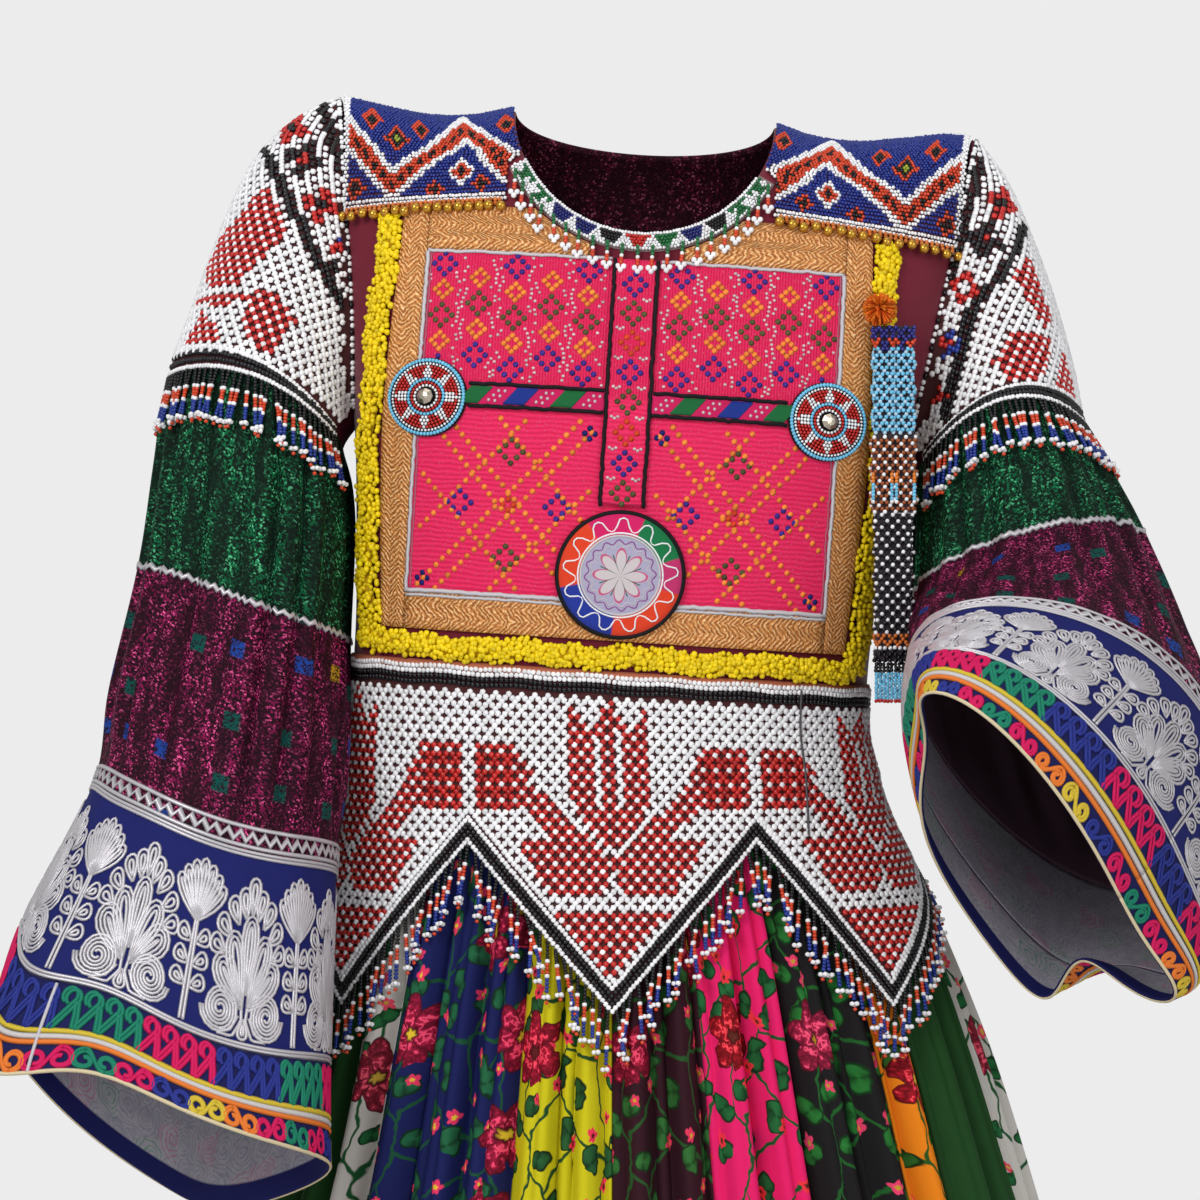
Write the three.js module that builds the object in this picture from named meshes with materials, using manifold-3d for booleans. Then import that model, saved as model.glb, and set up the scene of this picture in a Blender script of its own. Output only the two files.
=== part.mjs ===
// A beaded and embroidered nomad's dress with a gathered patchwork skirt, as it hangs on a wearer.
// Millimetres, +Z up, the front faces -Y, and +X is the wearer's left. The origin is the middle of
// the neck at shoulder height, where the wearer's shoulders carry the dress.
import * as THREE from "three";
import Module from "manifold-3d";
import { mergeVertices } from "three/addons/utils/BufferGeometryUtils.js";

const wasm = await Module();
wasm.setup();

const CLOTH = 1.4; // thickness of one layer of cloth
const BEADWORK = 2.3; // thickness of netted seed beads
const SEAM = 0.3; // gap between pieces that meet at a seam
const OVERLAY = 2.6; // where a piece laid on the bodice starts, clear of its facets
const ROPE = { start: 3.4, thickness: 3.4 }; // the yellow bead rope
const TOP_LAYER = OVERLAY + CLOTH + 0.5; // where a piece laid on the chest panel starts
const RIGHT_ANGLE = Math.PI / 2;
const TURN = 2 * Math.PI;

// The torso leans to the wearer's left above the waist, and hangs straight below it.
const LEAN = THREE.MathUtils.degToRad(3.6);
const LEAN_PIVOT_Z = -330;
const LEAN_FADE = { none: -430, full: -335 };

// Level sections of bodice and skirt, before folds. tuck draws the -X side in beside the cuff, and
// widen lets the +X side out at the shoulder, which the bent arm lifts.
const WAIST_SEAM_Z = -418;
const SECTIONS = [
  { z: 30, halfWidth: 212, front: 56, back: 60, square: 2.35, tuck: 0, widen: 16 },
  { z: -60, halfWidth: 204, front: 86, back: 80, square: 2.35, tuck: 0, widen: 15 },
  { z: -120, halfWidth: 195, front: 102, back: 88, square: 2.35, tuck: 0, widen: 12 },
  { z: -160, halfWidth: 185, front: 110, back: 89, square: 2.45, tuck: 0, widen: 8 },
  { z: -190, halfWidth: 179, front: 113, back: 88, square: 2.5, tuck: 0, widen: 5 },
  { z: -250, halfWidth: 174, front: 107, back: 85, square: 2.5, tuck: 0, widen: 2 },
  { z: -330, halfWidth: 170, front: 97, back: 83, square: 2.45, tuck: 0, widen: 0 },
  { z: -418, halfWidth: 173, front: 99, back: 88, square: 2.35, tuck: 0, widen: 0 },
  { z: -470, halfWidth: 193, front: 112, back: 106, square: 2.25, tuck: 12, widen: 0 },
  { z: -520, halfWidth: 215, front: 126, back: 124, square: 2.2, tuck: 24, widen: 0 },
  { z: -600, halfWidth: 245, front: 148, back: 152, square: 2.15, tuck: 40, widen: 0 },
  { z: -690, halfWidth: 272, front: 174, back: 180, square: 2.1, tuck: 44, widen: 0 },
  { z: -850, halfWidth: 318, front: 220, back: 228, square: 2.1, tuck: 16, widen: 0 },
  { z: -1040, halfWidth: 366, front: 270, back: 280, square: 2.05, tuck: 0, widen: 0 },
  { z: -1240, halfWidth: 408, front: 312, back: 324, square: 2, tuck: 0, widen: 0 },
];

// Neckline, shoulders and armholes, in the bodice's own frame before it leans.
const NECK = { halfWidth: 86, topZ: 27, frontZ: -57, backZ: 8 };
const SHOULDER_LINE = [
  { x: 86, z: 27 },
  { x: 112, z: 20 },
  { x: 142, z: 18 },
  { x: 172, z: 22 },
  { x: 200, z: 27 },
];
const SHOULDER_ROUNDING = 70;
const ARMHOLE = [
  { along: 0, x: 200, z: 27 },
  { along: 0.28, x: 193, z: -40 },
  { along: 0.55, x: 185, z: -100 },
  { along: 0.8, x: 180, z: -155 },
  { along: 1, x: 179, z: -190 },
];
const BODICE_EDGE = { neckShare: 0.42, shoulderShare: 0.72 };
const BODICE_ROWS = [0, 0.013, 0.05, 0.12, 0.22, 0.38, 0.56, 0.76, 0.89, 1];

// The skirt is cut from straight lengths of printed cloth, gathered together. folds gives each one's
// width, and they go round from the front's middle by the wearer's left side.
const SKIRT_LENGTHS = [
  { cloth: "maroon", folds: 2 },
  { cloth: "pink", folds: 2 },
  { cloth: "black", folds: 2 },
  { cloth: "orange", folds: 1 },
  { cloth: "green", folds: 2 },
  { cloth: "white", folds: 2 },
  { cloth: "navy", folds: 3 },
  { cloth: "yellow", folds: 3 },
  { cloth: "pink", folds: 3 },
  { cloth: "maroon", folds: 3 },
  { cloth: "orange", folds: 3 },
  { cloth: "black", folds: 3 },
  { cloth: "red", folds: 3 },
  { cloth: "green", folds: 2 },
  { cloth: "white", folds: 1 },
  { cloth: "navy", folds: 3 },
  { cloth: "yellow", folds: 2 },
];
const SKIRT_FOLDS = SKIRT_LENGTHS.reduce((sum, length) => sum + length.folds, 0);
const SKIRT_ROWS_Z = [-418, -480, -580, -730, -950, -1240];
const FOLD_CELLS = 4;
const FOLD_DEPTH = [
  { z: -418, depth: 2.2 },
  { z: -480, depth: 4.6 },
  { z: -580, depth: 7 },
  { z: -730, depth: 10 },
  { z: -950, depth: 14 },
  { z: -1240, depth: 18 },
];
const CREST_SIZES = [1, 0.65, 0.9, 0.45, 0.8, 1, 0.55, 0.95, 0.7, 0.5]; // share of the depth, fold by fold
const FLUTES = { count: 9, depth: 13, startZ: -600, endZ: -1240 };

// The beaded waist panel: its lower edge is a zigzag with three points, and carries the fringe.
const WAIST = { topZ: -343, notchZ: -450, tipZ: -556, legWidth: 90, legs: 6, legCells: 6, rows: 5 };
const WAIST_EASE = { onBodiceZ: -370, onSkirtZ: -412, clearance: 2.3 };
const WAIST_FRINGE = { count: 76, length: 38, gap: 0.5, strip: 3, strandRadius: 1 };

// Each sleeve is a row of rings down the arm, each given by its outer, front, inner and back points.
// right is the wearer's right arm, which hangs, and left is the wearer's left arm, bent at the elbow.
const SLEEVE_RINGS = {
  right: [
    { outer: [-208, 0, 25], front: [-187, -54, -77], inner: [-176, 0, -184], back: [-194, 54, -68] },
    { outer: [-236, 0, -3], front: [-200, -62, -92], inner: [-178, 0, -187], back: [-209, 62, -82] },
    { outer: [-258, -2, -50], front: [-210, -70, -115], inner: [-179, -2, -189], back: [-221, 66, -106] },
    { outer: [-276, -4, -100], front: [-219, -76, -133], inner: [-180, -4, -192], back: [-230, 68, -128] },
    { outer: [-292, -6, -146], front: [-227, -80, -151], inner: [-180, -6, -196], back: [-239, 68, -157] },
    { outer: [-300, -14, -207], front: [-230, -92, -219], inner: [-175.5, 2, -241], back: [-241, 62, -227] },
    { outer: [-308, -30, -272], front: [-235, -112, -293], inner: [-177.5, -12, -320], back: [-246, 50, -309] },
    { outer: [-322, -62, -346], front: [-243, -146, -366], inner: [-175, -68, -393], back: [-258, 22, -390] },
    { outer: [-333, -100, -414], front: [-250, -190, -443], inner: [-178, -108, -468], back: [-274, -12, -483] },
    { outer: [-373, -138, -500], front: [-264, -240, -555], inner: [-178, -158, -588], back: [-292, -48, -604] },
    { outer: [-387, -155, -557], front: [-267, -264, -599], inner: [-176, -180, -651], back: [-300, -60, -668] },
  ],
  left: [
    { outer: [262, 0, -18], front: [234, -54, -104], inner: [196, 0, -204], back: [240, 54, -96] },
    { outer: [280, 0, -60], front: [243, -62, -121], inner: [199, 0, -206], back: [252, 62, -113] },
    { outer: [294, 0, -100], front: [247, -70, -138], inner: [201, -2, -208], back: [260, 66, -134] },
    { outer: [305, 0, -140], front: [250, -78, -154], inner: [202, -4, -211], back: [266, 68, -154] },
    { outer: [314, 0, -180], front: [252, -86, -166], inner: [204, -6, -215], back: [270, 72, -180] },
    { outer: [334, 0, -216], front: [257, -100, -208], inner: [205, -10, -246], back: [281, 78, -228] },
    { outer: [351, -5, -250], front: [260, -120, -252], inner: [204, -20, -292], back: [298, 84, -292] },
    { outer: [373, -40, -312], front: [257, -150, -276], inner: [202, -46, -334], back: [330, 58, -400] },
    { outer: [388, -110, -385], front: [248, -196, -298], inner: [200, -110, -374], back: [352, 0, -490] },
    { outer: [340, -215, -442], front: [216, -246, -327], inner: [194, -152, -412], back: [332, -90, -545] },
    { outer: [306, -243, -475], front: [200, -266, -352], inner: [198, -172, -446], back: [298, -130, -552] },
  ],
};
const ARMHOLE_GAP = CLOTH + 0.9;
const SLEEVE_CELLS = 16;
const SLEEVE_BANDS = [
  { name: "top", cloth: "plum", rows: [0, 0.35, 1.2, 2.4, 3.6, 4.6] },
  { name: "green_band", cloth: "emerald", rows: [4.6, 5, 6, 7] },
  { name: "plum_band", cloth: "plum", rows: [7, 7.7, 8.4, 9] },
  { name: "cuff_blue", cloth: "navy", rows: [9, 9.5, 9.996] },
  { name: "cuff_bright", cloth: "crimson", rows: [10.004, 10.5, 11] },
];
const SLEEVE_BEADS = { rows: [0.35, 1.2, 2.4, 3.6, 4.6, 5], start: 2.1, halfTurn: 135 };
const SLEEVE_FRINGE = { count: 34, length: 38, rows: [5.02, 5.08], strandRadius: 1, start: 2.1, flare: 2 };
// Larger folds of a sleeve. around is an angle from its outer line towards the front, in degrees.
// A fold grows from one row to the row where it is full, and fades again by the last.
const SLEEVE_FOLDS = {
  right: [
    { around: 38, spread: 20, grows: 8.6, full: 11, fades: 14, push: [-24, -26, -24] },
    { around: 225, spread: 34, grows: 8.5, full: 11, fades: 14, push: [-24, -16, -6] },
    { around: 140, spread: 22, grows: 5, full: 6.4, fades: 8, push: [2, -7, 0] },
    { around: 60, spread: 18, grows: 6, full: 7.2, fades: 8.6, push: [3, 6, 0] },
  ],
  left: [
    { around: 315, spread: 26, grows: 9, full: 11, fades: 14, push: [22, -28, -2] },
    { around: 272, spread: 24, grows: 9, full: 11, fades: 14, push: [-4, -20, 34] },
    { around: 235, spread: 22, grows: 9, full: 11, fades: 14, push: [12, 6, -20] },
    { around: 140, spread: 26, grows: 9, full: 11, fades: 14, push: [16, 0, 0] },
    { around: 80, spread: 26, grows: 5.4, full: 6.5, fades: 7.6, push: [2, -10, 4] },
  ],
};

// The embroidered front, in the bodice's own frame: x across, z up.
const CHEST = { halfWidth: 135, topZ: -75, bottomZ: -296 };
const BRAID = { topZ: -50, bottomZ: -320, innerX: 30, neckGap: 1.5 };
const TRIM = { width: 16.5, topZ: -53, bottomZ: -339 };
const TRIM_EDGE = [
  { z: -53, x: 152 },
  { z: -190, x: 156 },
  { z: -339, x: 148 },
];
const PLACKET = { halfWidth: 14, topZ: -76, bottomZ: -233 };
const TAB = { topZ: -160, bottomZ: -177, innerX: 14.6, outerX: 100 };
const MEDALLION = { x: 127, z: -171, radius: 25, thickness: 3.2 };
const STUD = { radius: 5, height: 3.5 };
const ROSETTE = { x: 2, z: -277, radius: 41, thickness: 5 };
const YOKE = { innerX: 87.5, outerX: 196, outerDraw: 9, ridgeGap: 0.3, innerBottomZ: -39, outerBottomZ: -48 };
const NECK_BAND = { width: 12, fromTurn: -62, toTurn: 62, start: 2.1 };

// A strap of netted beads that hangs by a knot from the corner of the braid, on the wearer's left.
const STRAP = { x: 182, y: -90, thickness: 5 };
const STRAP_PARTS = [
  { name: "strap_blue_net", cloth: "sky", topZ: -117, bottomZ: -188, width: 26 },
  { name: "strap_brown_net", cloth: "amber", topZ: -188, bottomZ: -238, width: 28 },
  { name: "strap_black_net", cloth: "black", topZ: -238, bottomZ: -334, width: 24 },
];
const STRAP_FRINGE = { topZ: -334, strip: 5, length: 22, count: 6, width: 24, strandRadius: 1.5 };
const STRAP_KNOT = { x: 173, y: -91, z: -105, radius: 11.6 };

const CLOTHS = {
  crimson: { color: 0x9c1238, roughness: 0.85 },
  plum: { color: 0x5a1030, roughness: 0.5 },
  emerald: { color: 0x0c4a2b, roughness: 0.5 },
  navy: { color: 0x1a1a63, roughness: 0.85 },
  rose: { color: 0xe0244f, roughness: 0.8 },
  gold: { color: 0xc8813a, roughness: 0.45 },
  lemon: { color: 0xe8c400, roughness: 0.35 },
  beads: { color: 0xdcdce0, roughness: 0.35 },
  black: { color: 0x1d1618, roughness: 0.85 },
  sky: { color: 0x6fc0e6, roughness: 0.35 },
  amber: { color: 0x8c3a12, roughness: 0.35 },
  metal: { color: 0xb9a98c, roughness: 0.3, metalness: 1 },
  maroon: { color: 0x35141d, roughness: 0.85 },
  pink: { color: 0xe8236b, roughness: 0.85 },
  orange: { color: 0xf08a08, roughness: 0.85 },
  green: { color: 0x1f5a1c, roughness: 0.85 },
  white: { color: 0xd6d1ca, roughness: 0.85 },
  yellow: { color: 0xc9bd12, roughness: 0.85 },
  red: { color: 0xa81226, roughness: 0.85 },
};

const dress = new THREE.Group();

function add(name, cloth, geometry) {
  const mesh = new THREE.Mesh(geometry, new THREE.MeshStandardMaterial(CLOTHS[cloth]));
  mesh.name = name;
  dress.add(mesh);
}

const { clamp, degToRad, lerp, smoothstep } = THREE.MathUtils;
const power = (value, exponent) => Math.sign(value) * Math.abs(value) ** exponent;
const range = (count) => Array.from({ length: count }, (_, i) => i);
const spread = (from, to, cells) => range(cells + 1).map((i) => lerp(from, to, i / cells));
const seams = (...names) => Object.fromEntries(names.map((name) => [name, SEAM / 2]));

// The value of a column of a table at a place along its key, on a smooth curve through the rows.
function readTable(table, key, column, at) {
  const rising = table[1][key] > table[0][key] ? 1 : -1;
  const found = table.findIndex((row) => rising * row[key] > rising * at);
  const i = found < 0 ? table.length - 2 : clamp(found - 1, 0, table.length - 2);
  const slope = (j) => {
    const before = table[Math.max(j - 1, 0)];
    const after = table[Math.min(j + 1, table.length - 1)];
    return (after[column] - before[column]) / (after[key] - before[key]);
  };
  const [low, high] = [table[i], table[i + 1]];
  const step = high[key] - low[key];
  const t = clamp((at - low[key]) / step, 0, 1);
  return (
    (1 + 2 * t) * (1 - t) ** 2 * low[column] +
    t * (1 - t) ** 2 * step * slope(i) +
    t ** 2 * (3 - 2 * t) * high[column] +
    t ** 2 * (t - 1) * step * slope(i + 1)
  );
}

function lean(point) {
  const angle = LEAN * smoothstep(point.z, LEAN_FADE.none, LEAN_FADE.full);
  const rise = point.z - LEAN_PIVOT_Z;
  return new THREE.Vector3(
    point.x * Math.cos(angle) + rise * Math.sin(angle),
    point.y,
    LEAN_PIVOT_Z + rise * Math.cos(angle) - point.x * Math.sin(angle),
  );
}

const section = (z, column) => readTable(SECTIONS, "z", column, z);

// A point of the level section at z, at an angle from the front's middle towards the wearer's left.
function sectionPoint(angle, z, out = 0) {
  const exponent = 2 / section(z, "square");
  const aside = Math.sin(angle) < 0 ? -section(z, "tuck") : section(z, "widen");
  const depth = section(z, Math.cos(angle) > 0 ? "front" : "back");
  return new THREE.Vector3(
    (section(z, "halfWidth") + out + aside) * power(Math.sin(angle), exponent),
    -(depth + out) * power(Math.cos(angle), exponent),
    z,
  );
}

const shoulderZ = (x) => readTable(SHOULDER_LINE, "x", "z", Math.abs(x));

function torsoPoint(angle, z) {
  const point = sectionPoint(angle, z);
  const drop = clamp((shoulderZ(point.x) - z) / SHOULDER_ROUNDING, 0, 1);
  point.y *= Math.sqrt(1 - (1 - drop) ** 2);
  return lean(point);
}

const widening = (x, z) => (x > 0 ? section(z, "widen") : 0);

function torsoAngle(x, z) {
  const share = Math.min(Math.abs(x) / (section(z, "halfWidth") + widening(x, z)), 1);
  return Math.sign(x) * Math.asin(share ** (section(z, "square") / 2));
}

const frontPoint = (x, z) => torsoPoint(torsoAngle(x, z), z);

// The armhole's place from the shoulder tip to the armpit, on the side that x's sign gives.
function armholeAt(along, hand) {
  const z = readTable(ARMHOLE, "along", "z", along);
  return { x: readTable(ARMHOLE, "along", "x", along) + widening(hand, z), z };
}

// The upper edge of the bodice: neckline, shoulder seam, then armhole. across runs from -1 to 1.
function bodiceEdge(across, neckZ) {
  const { neckShare, shoulderShare } = BODICE_EDGE;
  const side = Math.abs(across);
  if (side <= neckShare) {
    const turn = (side / neckShare) * RIGHT_ANGLE;
    return { x: NECK.halfWidth * Math.sin(turn), z: NECK.topZ - (NECK.topZ - neckZ) * Math.cos(turn) };
  }
  if (side <= shoulderShare) {
    const share = (side - neckShare) / (shoulderShare - neckShare);
    const x = lerp(NECK.halfWidth, armholeAt(0, across).x, share);
    return { x, z: shoulderZ(x) };
  }
  return armholeAt((side - shoulderShare) / (1 - shoulderShare), across);
}

// Bodice front or back: across runs from -1 to 1 between the side seams, down from 0 to 1.
function bodiceSurface(isFront) {
  return (across, down) => {
    const side = Math.abs(across);
    const edge = bodiceEdge(across, isFront ? NECK.frontZ : NECK.backZ);
    const z = lerp(edge.z, WAIST_SEAM_Z, down);
    const edgeAngle = torsoAngle(Math.sign(across) * edge.x, edge.z);
    const angle = lerp(edgeAngle, across * RIGHT_ANGLE, Math.sqrt(down));
    return torsoPoint(isFront ? angle : Math.PI - angle, z);
  };
}

// The armhole's own line, from the shoulder tip by the front to the armpit, and up the back.
function armholePoint(around, hand) {
  const turn = ((around % TURN) + TURN) % TURN;
  const edge = armholeAt((1 - Math.cos(turn)) / 2, hand);
  const angle = torsoAngle(hand * edge.x, edge.z);
  const point = torsoPoint(turn <= Math.PI ? angle : Math.PI - angle, edge.z);
  point.x += hand * ARMHOLE_GAP;
  return point;
}

// The way out of a surface at a grid point, found from a small step each way inside the grid.
function outward(surface, columns, rows, closed) {
  const step = 1e-3;
  const reach = (values) => values[values.length - 1] - values[0];
  const within = (value, values) => {
    const ends = [values[0], values[values.length - 1]];
    return clamp(value, Math.min(...ends), Math.max(...ends));
  };
  const at = (u, v) => surface(closed ? u : within(u, columns), within(v, rows));
  const [du, dv] = [reach(columns) * step, reach(rows) * step];
  return (u, v) => {
    const down = at(u, v + dv).sub(at(u, v - dv)).normalize();
    const ahead = at(u + du, v).sub(at(u, v)).normalize();
    const behind = at(u, v).sub(at(u - du, v)).normalize();
    return down.clone().cross(ahead).add(down.cross(behind)).normalize();
  };
}

// The solid between two offsets of a surface, over a grid of columns and rows. closed joins the last
// column to the first, pole joins the first row to a point, and trims draws edges back along the cloth.
function wall(surface, columns, rows, inner, outer, options = {}) {
  const { closed = false, pole = false, turn = 1, trims = {} } = options;
  const [width, height] = [columns.length, rows.length];
  const last = height - 1;
  const grid = rows.map((v) => columns.map((u) => surface(u, v)));
  const facing = outward(surface, columns, rows, closed);
  const normals = rows.map((v) => columns.map((u) => facing(u, v).multiplyScalar(turn)));
  if (pole) {
    const mean = normals[1].reduce((sum, normal) => sum.add(normal), new THREE.Vector3()).normalize();
    normals[0] = columns.map(() => mean);
  }
  const moves = [];
  const draw = (i, j, towards, distance) => {
    if (distance) moves.push([grid[j][i], towards.clone().sub(grid[j][i]).setLength(distance)]);
  };
  range(width).forEach((i) => {
    draw(i, 0, grid[1][i], trims.top);
    draw(i, last, grid[last - 1][i], trims.bottom);
  });
  range(height).forEach((j) => {
    draw(0, j, grid[j][1], trims.start);
    draw(width - 1, j, grid[j][width - 2], trims.end);
  });
  moves.forEach(([point, step]) => point.add(step));

  const positions = [];
  [outer, inner].forEach((offset) =>
    grid.forEach((line, j) =>
      line.forEach((point, i) => {
        const out = typeof offset === "function" ? offset(columns[i], rows[j]) : offset;
        positions.push(...point.clone().addScaledVector(normals[j][i], out).toArray());
      }),
    ),
  );
  const index = [];
  const near = (i, j) => j * width + (i % width);
  const far = (i, j) => near(i, j) + width * height;
  const triangle = (a, b, c) => index.push(...(turn > 0 ? [a, b, c] : [a, c, b]));
  const quad = (a, b, c, d) => {
    triangle(a, b, c);
    triangle(a, c, d);
  };
  range(closed ? width : width - 1).forEach((i) => {
    range(last).forEach((j) => {
      quad(near(i, j), near(i, j + 1), near(i + 1, j + 1), near(i + 1, j));
      quad(far(i, j), far(i + 1, j), far(i + 1, j + 1), far(i, j + 1));
    });
    quad(near(i, last), far(i, last), far(i + 1, last), near(i + 1, last));
    if (!pole) quad(near(i + 1, 0), far(i + 1, 0), far(i, 0), near(i, 0));
  });
  if (!closed) {
    const end = width - 1;
    range(last).forEach((j) => {
      quad(near(0, j), far(0, j), far(0, j + 1), near(0, j + 1));
      quad(near(end, j + 1), far(end, j + 1), far(end, j), near(end, j));
    });
  }
  const geometry = new THREE.BufferGeometry()
    .setAttribute("position", new THREE.BufferAttribute(new Float32Array(positions), 3))
    .setIndex(index);
  return pole ? closePoles(geometry) : geometry;
}

// A surface made flat between its columns, as a wall on them is.
function faceted(surface, columns) {
  return (u, v) => {
    const i = clamp(columns.findIndex((column) => column > u) - 1, 0, columns.length - 2);
    const share = clamp((u - columns[i]) / (columns[i + 1] - columns[i]), 0, 1);
    return surface(columns[i], v).lerp(surface(columns[i + 1], v), share);
  };
}

// Joins the points of a pole, and drops the flat triangles that this leaves.
function closePoles(geometry) {
  const merged = mergeVertices(geometry, 1e-3);
  const corners = Array.from(merged.index.array);
  const kept = range(corners.length / 3)
    .map((i) => corners.slice(3 * i, 3 * i + 3))
    .filter(([a, b, c]) => a !== b && b !== c && c !== a);
  return merged.setIndex(kept.flat());
}

function toSolid(geometry) {
  const bare = geometry.clone();
  bare.deleteAttribute("normal");
  bare.deleteAttribute("uv");
  const merged = mergeVertices(bare, 1e-4);
  return new wasm.Manifold(
    new wasm.Mesh({
      numProp: 3,
      vertProperties: new Float32Array(merged.attributes.position.array),
      triVerts: new Uint32Array(merged.index.array),
    }),
  );
}

function toGeometry(solid) {
  const mesh = solid.getMesh();
  return new THREE.BufferGeometry()
    .setAttribute("position", new THREE.BufferAttribute(new Float32Array(mesh.vertProperties), 3))
    .setIndex(new THREE.BufferAttribute(new Uint32Array(mesh.triVerts), 1));
}

// A three-sided strand of beads from top to foot.
function strand(top, foot, radius) {
  const outline = range(3).map((i) => {
    const turn = (i * TURN) / 3;
    return new THREE.Vector2(radius * Math.cos(turn), radius * Math.sin(turn));
  });
  const settings = { depth: top.distanceTo(foot), bevelEnabled: false };
  const rod = new THREE.ExtrudeGeometry(new THREE.Shape(outline), settings);
  const way = foot.clone().sub(top).normalize();
  rod.applyQuaternion(new THREE.Quaternion().setFromUnitVectors(new THREE.Vector3(0, 0, 1), way));
  return rod.translate(top.x, top.y, top.z);
}

// Strands fused by their roots to one strip.
function fringe(strip, strands) {
  return toGeometry(strands.reduce((solid, rod) => solid.add(toSolid(rod)), toSolid(strip)));
}

function makeBodice() {
  const { neckShare, shoulderShare } = BODICE_EDGE;
  const half = [
    ...spread(0, neckShare, 4),
    ...spread(neckShare, shoulderShare, 4).slice(1),
    ...spread(shoulderShare, 1, 5).slice(1),
  ];
  const across = [...half.slice(1).reverse().map((side) => -side), ...half];
  const trims = seams("top", "bottom", "start", "end");
  add("bodice_front", "crimson", wall(bodiceSurface(true), across, BODICE_ROWS, 0, CLOTH, { trims }));
  add("bodice_back", "plum", wall(bodiceSurface(false), across, BODICE_ROWS, 0, CLOTH, { trims, turn: -1 }));
}

const trimEdge = (z) => readTable(TRIM_EDGE, "z", "x", z);

// Half the width at height z of the ellipse that lies a given width outside the front neckline.
function neckReach(z, width) {
  const share = (NECK.topZ - z) / (NECK.topZ - NECK.frontZ + width);
  return (NECK.halfWidth + width) * Math.sqrt(Math.max(1 - share ** 2, 0));
}

function makeChest() {
  const { halfWidth, topZ, bottomZ } = CHEST;
  const layer = [OVERLAY, OVERLAY + CLOTH];
  const rope = [ROPE.start, ROPE.start + ROPE.thickness];
  const whole = spread(-halfWidth, halfWidth, 12);
  add("chest_panel", "rose", wall(frontPoint, whole, spread(topZ, bottomZ, 6), ...layer));
  const lower = spread(bottomZ - SEAM, BRAID.bottomZ, 2);
  add("braid_bottom", "gold", wall(frontPoint, whole, lower, ...layer));
  const upper = spread(BRAID.topZ, topZ + SEAM, 3);
  const ropeTop = TRIM.bottomZ + TRIM.width;
  const sides = { right: -1, left: 1 };
  Object.entries(sides).forEach(([name, hand]) => {
    const top = (share, z) => {
      const from = Math.max(neckReach(z, NECK_BAND.width + BRAID.neckGap), BRAID.innerX);
      return frontPoint(hand * lerp(from, halfWidth, share), z);
    };
    const side = (share, z) => frontPoint(hand * lerp(halfWidth + SEAM, trimEdge(z) - SEAM, share), z);
    const edge = (share, z) => frontPoint(hand * (trimEdge(z) + share * TRIM.width), z);
    const turn = { turn: hand };
    add(`braid_top_${name}`, "gold", wall(top, spread(0, 1, 4), upper, ...layer, turn));
    add(`braid_${name}`, "gold", wall(side, spread(0, 1, 2), spread(BRAID.topZ, BRAID.bottomZ, 9), ...layer, turn));
    add(`trim_${name}`, "lemon", wall(edge, spread(0, 1, 2), spread(TRIM.topZ, TRIM.bottomZ, 10), ...rope, turn));
  });
  const between = (share, z) => frontPoint(share * (trimEdge(z) - SEAM), z);
  const ropeRows = spread(ropeTop, TRIM.bottomZ, 2);
  add("trim_bottom", "lemon", wall(between, spread(-1, 1, 16), ropeRows, ...rope));
}

// A round piece on the chest, with its middle at x and z. rise gives its height from the middle out.
function disc(x, z, radius, start, rise, sides, rings) {
  const surface = (turn, share) =>
    frontPoint(x + radius * share * Math.cos(turn), z + radius * share * Math.sin(turn));
  const columns = spread(0, TURN, sides).slice(0, -1);
  return wall(surface, columns, spread(0, 1, rings), start, (_, share) => start + rise(share), {
    closed: true,
    pole: true,
  });
}

function makeFastenings() {
  const { halfWidth, topZ, bottomZ } = PLACKET;
  const layer = [TOP_LAYER, TOP_LAYER + CLOTH];
  add("placket", "rose", wall(frontPoint, spread(-halfWidth, halfWidth, 2), spread(topZ, bottomZ, 6), ...layer));
  const onMedallion = TOP_LAYER + MEDALLION.thickness + SEAM;
  const domed = (share) => MEDALLION.thickness * (1 - 0.35 * share ** 2);
  const button = (share) => STUD.height * Math.sqrt(1 - 0.9 * share ** 2);
  const sides = { right: -1, left: 1 };
  Object.entries(sides).forEach(([name, hand]) => {
    const tab = (x, z) => frontPoint(hand * x, z);
    const rows = spread(TAB.topZ, TAB.bottomZ, 1);
    add(`tab_${name}`, "black", wall(tab, spread(TAB.innerX, TAB.outerX, 5), rows, ...layer, { turn: hand }));
    const x = hand * MEDALLION.x;
    add(`medallion_${name}`, "sky", disc(x, MEDALLION.z, MEDALLION.radius, TOP_LAYER, domed, 16, 2));
    add(`stud_${name}`, "metal", disc(x, MEDALLION.z, STUD.radius, onMedallion, button, 8, 2));
  });
  const swollen = (share) => ROSETTE.thickness * (1 - 0.5 * share ** 2);
  add("rosette", "red", disc(ROSETTE.x, ROSETTE.z, ROSETTE.radius, TOP_LAYER, swollen, 20, 2));
}

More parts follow.
